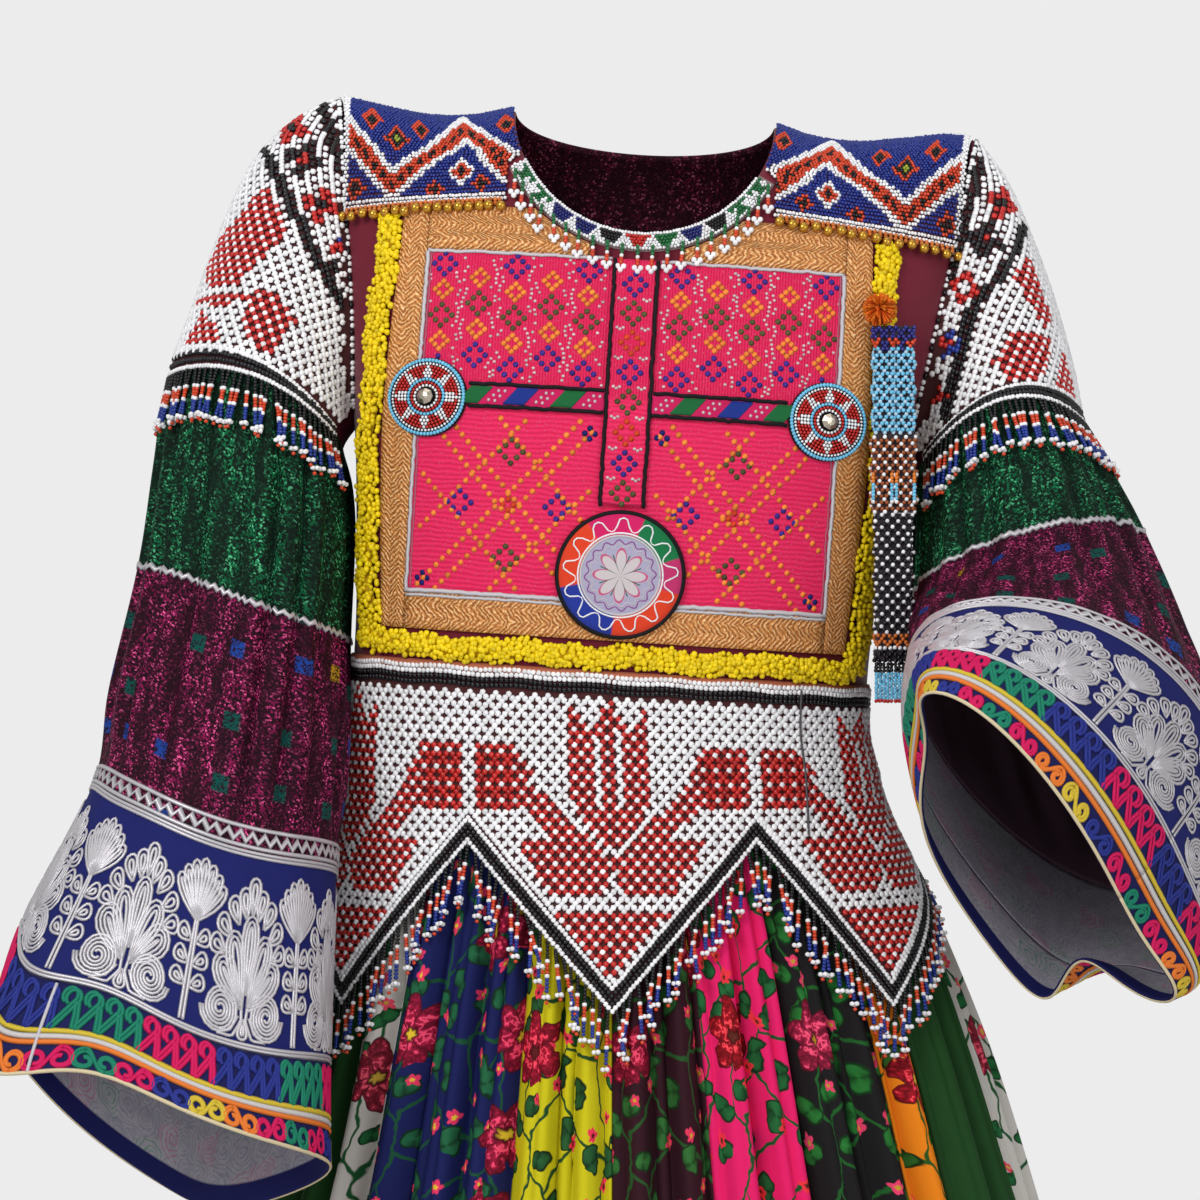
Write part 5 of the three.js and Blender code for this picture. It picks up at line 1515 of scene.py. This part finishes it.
def make_neck_band():
    """The neckline's bead band, its cloth strip and the short strands that hang from it."""
    def surface(turn, out):
        return front_point(
            (NECK_HALF + out) * np.sin(turn), NECK_TOP - (NECK_TOP - NECK_FRONT + out) * np.cos(turn))

    span = math.radians(62)
    patch = Patch(surface, np.linspace(-span, span, 70), np.linspace(0.3, 12, 8))
    cloth("neck_backing", patch, plain_cloth("neck_backing", (0.30, 0.22, 0.22)), node="neck_band",
          slot="glass_beads", rise=1.5, thickness=0.7)
    width = patch.width.mean()
    pitch = 2.3
    columns = int(width / pitch)
    i, j = np.meshgrid(np.arange(columns), np.arange(6))
    i, j = i.ravel(), j.ravel()
    x, y = (i + 0.5 * (j % 2)) * pitch, j * 1.95
    block = width / 11
    middle = np.abs(np.mod(x, block) / block - 0.5)
    section_tints = np.array([GREEN, GREEN, NAVY, NAVY, BLACK, RED, GREEN, NAVY, BLACK, GREEN, GREEN])
    pick = np.minimum((x / block).astype(int), 10)
    down_point = 0.47 - 0.075 * np.maximum(j - 0.5, 0)
    solid = (middle < down_point) & (j > 0) & (j < 5)
    tints = np.where(solid[:, None], section_tints[pick], WHITE)
    green = (pick < 2) | (pick > 8)
    tints[green & solid & (np.abs(middle - 0.22) < 0.07) & (np.abs(j - 2.5) < 1)] = WHITE
    points, normals = patch.share(x / width, y / 11.7, 3.2)
    beads("neck_net", jittered(points, 0.12, 8), normals, 1.28, shaded(tints, 0.07, 8), glass_beads())
    count = 21
    turns = np.linspace(-span * 0.95, span * 0.95, count)
    reach = NECK_HALF + 9.5
    top_x, top_z = reach * np.sin(turns), NECK_TOP - (NECK_TOP - NECK_FRONT + 9.5) * np.cos(turns)
    swing = np.random.default_rng(2).normal(0, 0.05, count)
    centres, facing, tints, radii = [], [], [], []
    marks = [
        (0.5, GREEN, 1.45), (2.8, GREEN, 1.45), (5.1, GREEN, 1.45), (7.5, WHITE, 1.5), (9.8, SCARLET, 1.6),
             (11.9, SCARLET, 1.6)]

    def hang(depth, aside, tint, size):
        place_x = top_x + swing * depth + aside
        points, normals = chest_place(place_x, np.maximum(top_z - depth, -160), OVERLAY + CLOTH + 1.9)
        centres.append(points)
        facing.append(normals)
        tints.append(np.tile(tint, (count, 1)))
        radii.append(np.full(count, size))

    for depth, tint, size in marks:
        hang(depth, 0, tint, size)
    for aside, depth in ((-2.0, 14.6), (2.0, 14.6), (0.0, 16.9)):
        hang(depth, aside, WHITE, 2.0)
    beads("neck_strands", np.concatenate(centres), np.concatenate(facing), np.concatenate(radii),
          shaded(np.concatenate(tints), 0.06, 14), glass_beads(), shape=(6, 4), squash=1.0)


# Skirt

PRINTS = {
    "maroon": dict(ground=(0.030, 0.006, 0.012), petals=(0.48, 0.012, 0.055), hearts=(0.60, 0.35, 0.02),
                   leaves=(0.03, 0.14, 0.03)),
    "pink": dict(ground=(0.74, 0.012, 0.13), petals=(0.52, 0.008, 0.02), hearts=(0.10, 0.02, 0.01),
                 leaves=(0.015, 0.13, 0.035)),
    "black": dict(ground=(0.010, 0.009, 0.010), petals=(0.50, 0.02, 0.08), hearts=(0.5, 0.3, 0.02),
                  leaves=(0.02, 0.17, 0.03)),
    "orange": dict(ground=(0.80, 0.22, 0.008), petals=(0.58, 0.012, 0.03), hearts=(0.80, 0.60, 0.05),
                   leaves=(0.03, 0.14, 0.02)),
    "white": dict(ground=(0.56, 0.54, 0.50), petals=(0.50, 0.03, 0.07), hearts=(0.6, 0.4, 0.05),
                  leaves=(0.015, 0.14, 0.04)),
    "navy": dict(ground=(0.008, 0.012, 0.085), petals=(0.50, 0.012, 0.065), hearts=(0.75, 0.50, 0.03),
                 leaves=(0.015, 0.12, 0.05)),
    "yellow": dict(ground=(0.56, 0.50, 0.008), petals=(0.56, 0.012, 0.045), hearts=(0.10, 0.01, 0.01),
                   leaves=(0.02, 0.10, 0.03)),
    "red": dict(ground=(0.30, 0.006, 0.02), petals=(0.70, 0.06, 0.12), hearts=(0.75, 0.5, 0.03),
                leaves=(0.02, 0.10, 0.03)),
}


def skirt_finish(name):
    if name == "green":
        return plain_cloth("green_velvet", (0.008, 0.060, 0.009), 0.7)
    sparse = name in ("white", "orange")
    return printed(f"print_{name}", size=78.0 if sparse else 66.0, density=0.27 if sparse else 0.37,
                   shift=7.0 * len(name) + 3.0, **PRINTS[name])


def make_skirt():
    start = 0
    heights = np.concatenate([np.linspace(-418, -600, 22), np.linspace(-612, -1240, 40)])
    surface = skirt_surface(measure("skirt_pleat"))
    for i, (name, folds) in enumerate(SKIRT):
        patch = Patch(surface, np.linspace(start, start + folds, folds * 22 + 1) + 1e-7, heights)
        slot = "green_velvet" if name == "green" else f"print_{name}"
        cloth(f"skirt_cloth_{i + 1:02d}", patch, skirt_finish(name),
              node=f"skirt_{i + 1:02d}_{name}", slot=slot)
        start += folds
    lines = []
    for at in (0.0, 30.0, 12.0):
        down = np.linspace(-470, -1236, 420)
        patch = Patch(surface, np.linspace(at - 0.25, at + 0.25, 6) + 50 * (at < 0.3), heights)
        u = np.full(420, patch.us.mean()) + 0.045 * np.sign(np.sin(down * 0.75))
        points, normals = patch.at(u, down, CLOTH + 0.5)
        lines.append((points, normals, 1.2, 0.8, SILVER))
    sweep(lines, silver_cord(), "skirt_seam_braids")


# Sleeves and cuffs

def band_patch(name, first, last, rows=None, gathers=2.6):
    hand = HANDS[name]
    return Patch(sleeve_surface(name, gathers), np.linspace(0, 360, 145),
                 np.linspace(first, last, rows or int(12 * (last - first)) + 4), closed=True, turn=-hand)


def make_sleeves():
    for name in HANDS:
        looks = {
            "top": (plain_cloth("sleeve_top", (0.10, 0.01, 0.03)), "plum_lurex"),
            "green_band": (lurex("green_lurex", (0.002, 0.010, 0.006), (0.003, 0.17, 0.06)), "green_lurex"),
            "plum_band": (lurex("plum_lurex", (0.014, 0.001, 0.006), (0.30, 0.008, 0.095), spots=True),
                          "plum_lurex"),
            "cuff_blue": (plain_cloth("navy_felt", (0.010, 0.014, 0.13)), "navy_felt"),
            "cuff_bright": (plain_cloth("cuff_ground", (0.010, 0.012, 0.085)), "bright_embroidery"),
        }
        for band, first, last in SLEEVE_BANDS:
            rows = {"top": 30, "cuff_blue": 22, "cuff_bright": 22}.get(band, 40)
            patch = band_patch(name, first, last, rows)
            lining = plain_cloth("sleeve_inside", (0.16, 0.09, 0.12))
            if band == "cuff_blue":
                lining = reverse_lining("cuff_lining", 0, 0)
            if band == "cuff_bright":
                lining = reverse_lining(f"hem_lining_{name}", 13.0, float(patch.length.mean()))
            cloth(f"sleeve_{name}_{band}_cloth", patch, looks[band][0], node=f"sleeve_{name}_{band}",
                  slot=looks[band][1], lining=lining)


def spiral(x, y, radius, turns, hand, start=0.0, count=40):
    """A flat spiral from its edge to its middle."""
    t = np.linspace(0, 1, count)
    angle = start + hand * t * turns * 2 * math.pi
    reach = radius * (1 - t * 0.88)
    return np.stack([x + reach * np.cos(angle), y + reach * np.sin(angle)], 1)


def leaf(x, y, length, width, lean_angle, count=13):
    """A closed leaf loop from its root at x and y."""
    t = np.linspace(0, 1, count)
    along = length * np.sin(t * math.pi)
    aside = width * np.sin(t * 2 * math.pi) * 0.5
    cos, sin = math.cos(lean_angle), math.sin(lean_angle)
    return np.stack([x + along * sin + aside * cos, y - along * cos + aside * sin], 1)


def nested_leaf(x, y, length, width, lean_angle, step=2.3):
    """A leaf filled with loops of cord, each lying inside the one before."""
    lines = []
    for inset in np.arange(0, width / 2 - 0.4, step):
        root_x, root_y = x + inset * math.sin(lean_angle), y - inset * math.cos(lean_angle)
        lines.append(leaf(root_x, root_y, length - 2 * inset, width - 2 * inset, lean_angle))
    return lines


def palmette(height):
    """Lines of one leafy palmette between two spirals, about x = 0. y runs down the cuff to height."""
    lines = []
    for hand in (-1, 1):
        lines.append(spiral(hand * 16.5, height - 15.5, 13.2, 2.9, hand, math.pi / 2 - hand * 1.5, 46))
        lines.append(spiral(hand * 16.5, height - 15.5, 11.4, 2.4, hand, math.pi / 2 - hand * 1.5, 40))
        lines.append(np.array([(hand * 17, height - 2.6), (hand * 7, height - 2.6), (hand * 1.5, height - 12),
                               (hand * 2.5, height - 22)]))
        lines.append(np.array([(hand * 16, height - 5.0), (hand * 9, height - 5.4), (hand * 4, height - 14)]))
        lines += nested_leaf(hand * 2, height - 17, 30, 15, hand * 0.74)
        lines += nested_leaf(hand * 2, height - 18, 34, 13, hand * 0.34)
    lines += nested_leaf(0, height - 24, 34, 12, 0.0)
    for hand in (-1, 1):
        for at_x, at_y, turn, length in ((17, 40, 1.15, 12), (14, 47, 0.9, 13), (9.5, 53, 0.55, 13.5),
                                         (4.5, 56, 0.25, 14)):
            lines += nested_leaf(hand * at_x, height - at_y, length, 8.4, hand * turn, 2.6)
    lines += nested_leaf(0, height - 58, 17, 8.6, 0.0, 2.6)
    lines += nested_leaf(0, height - 13, 11, 6.5, math.pi)
    return lines


def fan_on_stem(height):
    """Lines of the narrow fan on a stem that stands between two palmettes."""
    lines = [np.array([(x, height - 2), (x, height - 30), (x * 0.6, height - 52)]) for x in (-1.2, 1.2)]
    for angle in (-0.78, -0.52, -0.26, 0.0, 0.26, 0.52, 0.78):
        lines += nested_leaf(0, height - 49, 29 - 5 * abs(angle), 7.6, angle, 2.6)
    for up in (20, 30, 40):
        for hand in (-1, 1):
            lines += nested_leaf(hand * 1.5, height - up, 10.5, 7.6, hand * 1.1, 2.6)
    return lines


def hook(x, y, wide, tall):
    """A pointed wave whose top curls over, one of a row of couched hooks. y is its foot."""
    turn = np.linspace(-0.5, 4.2, 14)
    top_x, top_y = x + wide * 0.30, y - tall * 0.80
    curl = np.stack([top_x + wide * 0.32 * np.cos(turn), top_y - wide * 0.30 * np.sin(turn)], 1)
    rise = np.array([(x - wide * 0.28, y), (x + wide * 0.46, y - tall * 0.64)])
    fall = np.array([
        (x + wide * 0.60, y - tall * 0.72), (x + wide * 0.70, y - tall * 0.36), (x + wide * 0.72, y)])
    return [np.concatenate([along_line(rise, 4.0), curl]), fall]


def scroll(x, y, wide, tall, hand, inset=0.0):
    """An S-shaped scroll with a curl at each end."""
    lines = []
    for end in (-1, 1):
        turn = np.linspace(0, 6.6, 19)
        reach = (tall / 2 - inset) * (1 - 0.105 * turn)
        curl_x = x + end * wide * 0.25 + end * reach * np.sin(turn) * 0.62
        curl_y = y + hand * end * (reach * np.cos(turn))
        lines.append(np.stack([curl_x, curl_y], 1))
    lines.append(np.stack([np.linspace(x + wide * 0.25, x - wide * 0.25, 12),
                           y + hand * (tall / 2 - inset) * np.cos(np.linspace(0, math.pi, 12))], 1))
    return lines


def lay(patch, line, out, half_width, half_height, tint, pitch=2.6):
    """A cord laid on a patch along a line in millimetres of its flat cut."""
    dense = along_line(line, pitch) if len(line) < 12 else np.asarray(line)
    width, length = patch.width.mean(), patch.length.mean()
    points, normals = patch.share(np.mod(dense[:, 0] / width, 1.0), np.clip(dense[:, 1] / length, 0, 1), out)
    return points, normals, half_width, half_height, tint


def lay_round(patch, y, out, half_width, half_height, tint, zig=0.0, period=6.0):
    """A cord all round a cuff at a depth y, which may run in a zigzag."""
    width, length = patch.width.mean(), patch.length.mean()
    count = int(width / (period / 2)) // 2 * 2 if zig else 200
    x = np.linspace(0, 1, count + 1) * 0.9999
    drop = y + (zig * (np.arange(count + 1) % 2 * 2 - 1) if zig else 0)
    points, normals = patch.share(x, np.clip((drop + 0 * x) / length, 0, 1), out)
    return points, normals, half_width, half_height, tint


def make_cuffs():
    """The cuffs' couched cords: silver palmettes on the navy band, coloured hooks and scrolls below."""
    red, blue, green = (0.60, 0.008, 0.10), (0.020, 0.032, 0.23), (0.010, 0.20, 0.12)
    yellow, orange = (0.62, 0.46, 0.04), (0.74, 0.19, 0.03)
    for name in HANDS:
        band = band_patch(name, 9, 9.996, 22)
        width, length = band.width.mean(), band.length.mean()
        edges = (1.5, 4.2, length - 1.2, length - 4.0)
        lines = [lay_round(band, at, LIE, 1.2, 0.9, SILVER) for at in edges]
        tall = length - 11
        count = max(int(round(width / MOTIF_WIDE)), 3)
        span = width / count
        for k in range(count):
            for motif, middle in ((palmette, (k + 0.5) * span), (fan_on_stem, (k + 1.0) * span)):
                for shape in motif(MOTIF_TALL):
                    placed = [middle + shape[:, 0] * span / MOTIF_WIDE, 6.5 + shape[:, 1] * tall / MOTIF_TALL]
                    placed = np.stack(placed, 1)
                    lines.append(lay(band, placed, LIE, 1.15, 0.75, SILVER))
        sweep(lines, silver_cord(), f"cuff_{name}_silver")
        band = band_patch(name, 10.004, 11, 22)
        width, length = band.width.mean(), band.length.mean()
        middle = length * 0.47
        lines = [lay_round(band, depth, LIE, half, 1.0, tint) for depth, half, tint in (
            (middle - 4.2, 1.9, yellow), (middle - 0.5, 2.1, (0.56, 0.54, 0.54)), (middle + 3.3, 1.9, orange),
            (length - 1.0, 1.4, CREAM))]
        pitch = width / int(width / 12.6)
        tall = middle - 6.6
        for k in range(int(round(width / pitch))):
            tint = (red, blue, green)[(k // 4) % 3]
            for shift in (0.0, 2.6):
                for shape in hook((k + 0.25) * pitch + shift * 0.8, 0.8 + tall + shift * 0.3, pitch, tall):
                    lines.append(lay(band, shape, LIE, 1.5, 0.8, tint))
        pitch = width / int(width / 23.0)
        tall = length - middle - 8.0
        for k in range(int(round(width / pitch))):
            tint = (red, blue, yellow, orange, red, green)[k % 6]
            at_x, at_y = (k + 0.5) * pitch, middle + 5.8 + tall / 2
            for inset in (0.0, 2.9):
                for shape in scroll(at_x, at_y, pitch, tall - 1, 1 if k % 2 else -1, inset):
                    lines.append(lay(band, shape, LIE, 1.4, 0.8, tint))
        if name == "right":
            seam = width * SEAM_TURN / 360
            lines.append(lay(band, np.array([(seam, 1), (seam, length - 1)]), CLOTH + 1.0, 1.2, 0.9, SILVER))
        sweep(lines, stitched_thread(), f"cuff_{name}_scrolls")
        braids = []
        plum = band_patch(name, 7, 9, 40)
        braids.append(lay_round(plum, 1.5, LIE, 2.0, 0.9, SILVER, zig=1.7, period=7.0))
        long = plum.length.mean()
        braids.append(lay_round(plum, long - 6.8, LIE, 2.6, 0.9, SILVER, zig=2.6, period=9.0))
        for depth in (long - 1.6, long - 12.5):
            braids.append(lay_round(plum, depth, LIE, 1.5, 0.9, SILVER))
        sweep(braids, silver_cord(), f"sleeve_{name}_seam_braids")


# Strap

def lobe_at(across, width):
    """How far across its own lobe a place on a two-lobed tube is, from -1 to 1."""
    return np.mod((across + width / 2) / width * 2, 1) * 2 - 1


def make_strap():
    """The strap's netted tubes, its fringe and the tuft that it hangs from."""
    x, y = 182.0, -90.0
    parts = [("strap_blue_net", -117, -188, 26, SKY, (0.45, 0.62, 0.75), 2),
             ("strap_brown_net", -188, -238, 28, (0.30, 0.07, 0.012), WHITE, 1),
             ("strap_black_net", -238, -334, 24, BLACK, WHITE, 1)]
    for node, top, bottom, width, tint, dot, lobes in parts:
        turns = np.linspace(0, 2 * math.pi, 241)
        across = np.cos(turns) * width / 2
        lobe = np.mod((across + width / 2) / width * lobes, 1) * 2 - 1
        depth = np.sign(np.sin(turns)) * (1.2 + 3.2 * np.sqrt(np.maximum(1 - lobe**2, 0)))
        arc = np.concatenate([[0], np.cumsum(np.hypot(np.diff(across), np.diff(depth)))])
        around = int(arc[-1] / 6.4)
        down, i, crossing = net(arc[-1], top - bottom - 2, arc[-1] / around, 8.0)
        places = np.interp(down, arc, across), np.interp(down, arc, depth)
        swell = 1 + 0.06 * np.sin(i * 0.35)
        centres = np.stack([x + places[0] * swell, y + places[1], top - 1 - i], 1)
        normals = unit(np.stack([places[0] * 0.05, np.sign(places[1]), 0 * down], 1))
        tints = np.where(crossing[:, None], dot, tint)
        if node == "strap_black_net":
            tints[i > 76] = (0.55, 0.14, 0.02)
            tints[i > 86] = BLACK
            tints[np.abs(i - 86) < 1.5] = WHITE
        if lobes == 2:
            tints[i < 13] = SCARLET
            tints[i < 8] = (0.02, 0.02, 0.20)
            tints[(i < 15) & (np.abs(lobe_at(places[0], width)) < 0.4)] = (0.02, 0.02, 0.20)
        beads(f"{node}_beads", jittered(centres, 0.14, 12), normals, 1.55,
              shaded(tints, 0.08, 12), glass_beads(),
              squash=0.95)
        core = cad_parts[node]
        core.data.materials.clear()
        core.data.materials.append(
            finish_named("strap_core", lambda own: Shades(own, (0.03, 0.02, 0.03), 0.85)))
    tops = np.array([
        [x + across, y + deep, -335.5] for across in np.linspace(-11, 11, 10) for deep in (-1.9, 1.9)])
    centres, tints = [], []
    for k in range(12):
        centres.append(tops + np.array([0, 0, -2.15 * k])
                       + np.random.default_rng(k).normal(0, 0.2, tops.shape))
        tints.append(np.tile(BLACK if k < 3 else SKY if k < 11 else RED, (len(tops), 1)))
    dangles = np.array([[x + across, y - 5.0, -213.0] for across in (-13.5, -1.5, 1.5, 13.0)])
    dangle_centres = np.concatenate([dangles + np.array([0, 0, -2.2 * k]) for k in range(9)])
    dangle_tints = np.repeat(np.array([ORANGE] * 3 + [SKY] * 5 + [WHITE]), len(dangles), 0)
    centres = np.concatenate(centres + [dangle_centres])
    piece = beads("strap_strands", centres, np.tile([0.0, -1, 0], (len(centres), 1)), 1.4,
                  shaded(np.concatenate(tints + [dangle_tints]), 0.08, 13), glass_beads(), shape=(6, 4))
    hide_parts("strap_fringe")
    random = np.random.default_rng(21)
    lines = []
    for k in range(170):
        way = unit(random.normal(0, 1, 3))
        steps = np.linspace(2, 11.2, 6)[:, None]
        points = np.array([173, -91, -105.0]) + way * steps + np.array([0, 0, -0.02]) * steps**2 * 0.6
        facing = np.tile(unit(np.cross(way, [0.3, 0.5, 0.8])), (6, 1))
        tint = (0.74 * random.uniform(0.7, 1.1), 0.17 * random.uniform(0.6, 1.1), 0.01)
        lines.append((points, facing, 0.8, 0.8, tint))
    tuft = sweep(lines, stitched_thread(), "strap_tuft")
    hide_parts("strap_knot")


# Bodice and stage

def make_bodice():
    sides = np.linspace(-1, 1, 161)
    downs = np.concatenate([np.linspace(0, 0.1, 14), np.linspace(0.12, 1, 40)])
    front = Patch(bodice_surface(True), sides, downs)
    cloth("bodice_front_cloth", front, plain_cloth("crimson_cloth", (0.17, 0.004, 0.022), 0.6, 0.25),
          node="bodice_front", slot="crimson_cloth")
    back = Patch(bodice_surface(False), sides, downs, turn=-1)
    cloth("bodice_back_cloth", back, lurex("maroon_lurex", (0.020, 0.003, 0.008), (0.16, 0.01, 0.04)),
          node="bodice_back", slot="maroon_lurex")


def add_plane(name, size, location, rotation, material):
    clean_slate()
    bpy.ops.mesh.primitive_plane_add(size=size, location=location, rotation=rotation)
    plane = bpy.context.object
    plane.name = name
    plane.data.materials.append(material)
    return plane


def add_light(name, energy, size, location, target):
    clean_slate()
    bpy.ops.object.light_add(type="AREA", location=location)
    light = bpy.context.object
    light.name = name
    light.data.energy = energy
    light.data.size = size
    from_light = np.array(target) - np.array(location)
    flat = math.hypot(from_light[0], from_light[1])
    light.rotation_euler = (math.atan2(flat, -from_light[2]), 0, math.atan2(-from_light[0], from_light[1]))


def make_stage():
    """The plain pale floor, the soft lights and the camera at the photo's angle. Rays of the camera that
    miss everything see a paler room than the one that lights the dress."""
    pale = finish_named("pale_floor", lambda own: Shades(own, (0.80, 0.80, 0.80), 0.9, specular=0.1))
    add_plane("floor", 7.4, (0, 0, -1.262), (0, 0, 0), pale)
    add_light("key", 46, 1.3, (-1.4, -2.3, 1.2), (0, 0, -0.25))
    add_light("fill", 24, 2.0, (1.8, -2.3, 0.3), (0, 0, -0.3))
    add_light("top", 10, 1.8, (0, -0.4, 2.2), (0, 0, -0.2))
    world = bpy.data.worlds.new("soft_room")
    world.use_nodes = True
    nodes, links = world.node_tree.nodes, world.node_tree.links
    around = nodes["Background"]
    seen, rays, joined = (nodes.new(kind) for kind in (
        "ShaderNodeBackground", "ShaderNodeLightPath", "ShaderNodeMixShader"))
    around.inputs["Strength"].default_value = 0.44
    seen.inputs["Strength"].default_value = 0.84
    for background in (around, seen):
        background.inputs["Color"].default_value = (1, 1, 1, 1)
    links.new(rays.outputs["Is Camera Ray"], joined.inputs[0])
    links.new(around.outputs[0], joined.inputs[1])
    links.new(seen.outputs[0], joined.inputs[2])
    links.new(joined.outputs[0], nodes["World Output"].inputs["Surface"])
    bpy.context.scene.world = world
    bpy.context.scene.view_settings.view_transform = "Standard"
    clean_slate()
    bpy.ops.object.camera_add(location=(-0.0077, -2.715, -0.294), rotation=(math.pi / 2, 0, 0))
    camera = bpy.context.object
    camera.data.sensor_width = 36
    camera.data.lens = 36 * 2600 / 768
    bpy.context.scene.camera = camera


def length(label, description, default):
    return bpy.props.FloatProperty(name=label, description=description, default=default, unit="LENGTH")


def color(label, description, default):
    return bpy.props.FloatVectorProperty(
        name=label, description=description, default=default, subtype="COLOR", size=3)


class DressSizes(bpy.types.PropertyGroup):
    """Sizes of the dress's cloth, beads and fringes."""

    wall: length("Wall", "Thickness of a cloth wall", CLOTH * MM)
    net_bead: length("Net bead", "Radius of a bead of the netted panels", 0.0023)
    edge_bead: length("Edge bead", "Radius of a bead of the panels' rows and borders", 0.0019)
    rope_bead: length("Rope bead", "Mean radius of a bead of the yellow ropes", 0.00205)
    waist_fringe: length("Waist fringe", "Length of a strand of the waist's fringe", 0.0385)
    sleeve_fringe: length("Sleeve fringe", "Length of a strand of a sleeve's fringe", 0.038)
    skirt_pleat: length("Skirt pleat", "How far the skirt's finer pleats stand out", 0.003)


class DressColors(bpy.types.PropertyGroup):
    """Bead colours of the waist panel and the ropes."""

    white: color("White bead", "Ground of the waist panel", WHITE)
    red: color("Red bead", "Shapes of the waist panel", RED)
    black: color("Black bead", "Borders of the waist panel", BLACK)
    yellow: color("Yellow bead", "Ropes round the gold braid", (0.84, 0.62, 0.003))


def make(*steps):
    """Runs the steps that make an operator's pieces. A step that can't finish raises its own error."""
    clean_slate()
    for step in steps:
        step()
    return {"FINISHED"}


class DRESS_OT_bodice(bpy.types.Operator):
    """Makes the bodice's front and back."""

    bl_idname = "dress.bodice"
    bl_label = "Bodice"

    def execute(self, context):
        return make(make_bodice)


class DRESS_OT_chest(bpy.types.Operator):
    """Makes the chest panel, the placket and the tabs."""

    bl_idname = "dress.chest"
    bl_label = "Chest panel"

    def execute(self, context):
        return make(make_chest)


class DRESS_OT_braids(bpy.types.Operator):
    """Makes the gold braids."""

    bl_idname = "dress.braids"
    bl_label = "Braids"

    def execute(self, context):
        return make(make_braids)


class DRESS_OT_ropes(bpy.types.Operator):
    """Makes the yellow bead ropes."""

    bl_idname = "dress.ropes"
    bl_label = "Bead ropes"

    def execute(self, context):
        return make(make_ropes)


class DRESS_OT_medallions(bpy.types.Operator):
    """Makes the bead medallions and the rosette."""

    bl_idname = "dress.medallions"
    bl_label = "Medallions"

    def execute(self, context):
        return make(make_medallions, make_rosette)


class DRESS_OT_yokes(bpy.types.Operator):
    """Makes the bead yokes and the neck band."""

    bl_idname = "dress.yokes"
    bl_label = "Yokes"

    def execute(self, context):
        return make(make_yokes, make_neck_band)


class DRESS_OT_waist(bpy.types.Operator):
    """Makes the netted waist panel and its fringe."""

    bl_idname = "dress.waist"
    bl_label = "Waist panel"

    def execute(self, context):
        return make(make_waist_net, make_waist_fringe)


class DRESS_OT_skirt(bpy.types.Operator):
    """Makes the gathered skirt."""

    bl_idname = "dress.skirt"
    bl_label = "Skirt"

    def execute(self, context):
        return make(make_skirt)


class DRESS_OT_sleeves(bpy.types.Operator):
    """Makes the sleeves' cloth and the cuffs' cords."""

    bl_idname = "dress.sleeves"
    bl_label = "Sleeves"

    def execute(self, context):
        return make(make_sleeves, make_cuffs)


class DRESS_OT_sleeve_nets(bpy.types.Operator):
    """Makes the sleeves' netted panels and their fringes."""

    bl_idname = "dress.sleeve_nets"
    bl_label = "Sleeve nets"

    def execute(self, context):
        return make(make_sleeve_nets, make_sleeve_fringes)


class DRESS_OT_strap(bpy.types.Operator):
    """Makes the beaded strap."""

    bl_idname = "dress.strap"
    bl_label = "Strap"

    def execute(self, context):
        return make(make_strap)


class DRESS_OT_stage(bpy.types.Operator):
    """Makes the floor, the lights and the camera."""

    bl_idname = "dress.stage"
    bl_label = "Stage"

    def execute(self, context):
        return make(make_stage)


OPERATORS = [
    DRESS_OT_bodice,
    DRESS_OT_chest,
    DRESS_OT_braids,
    DRESS_OT_ropes,
    DRESS_OT_medallions,
    DRESS_OT_yokes,
    DRESS_OT_waist,
    DRESS_OT_skirt,
    DRESS_OT_sleeves,
    DRESS_OT_sleeve_nets,
    DRESS_OT_strap,
    DRESS_OT_stage,
]


class DRESS_PT_panel(bpy.types.Panel):
    """Lists the pieces of the dress."""

    bl_label = "Dress"
    bl_space_type = "VIEW_3D"
    bl_region_type = "UI"
    bl_category = "Dress"

    def draw(self, context):
        for group in (sizes(), colors()):
            for key in group.__annotations__:
                self.layout.prop(group, key)
        for kind in OPERATORS:
            self.layout.operator(kind.bl_idname)


CLASSES = [DressSizes, DressColors, *OPERATORS, DRESS_PT_panel]


def register():
    for kind in CLASSES:
        bpy.utils.register_class(kind)
    bpy.types.Scene.dress_sizes = bpy.props.PointerProperty(type=DressSizes)
    bpy.types.Scene.dress_colors = bpy.props.PointerProperty(type=DressColors)


def unregister():
    del bpy.types.Scene.dress_colors
    del bpy.types.Scene.dress_sizes
    for kind in reversed(CLASSES):
        bpy.utils.unregister_class(kind)


def main():
    register()
    for kind in OPERATORS:
        name = kind.bl_idname.split(".")[1]
        if getattr(bpy.ops.dress, name)() != {"FINISHED"}:
            raise RuntimeError(f"{name} didn't finish")
    clean_slate()


if __name__ == "__main__":
    main()
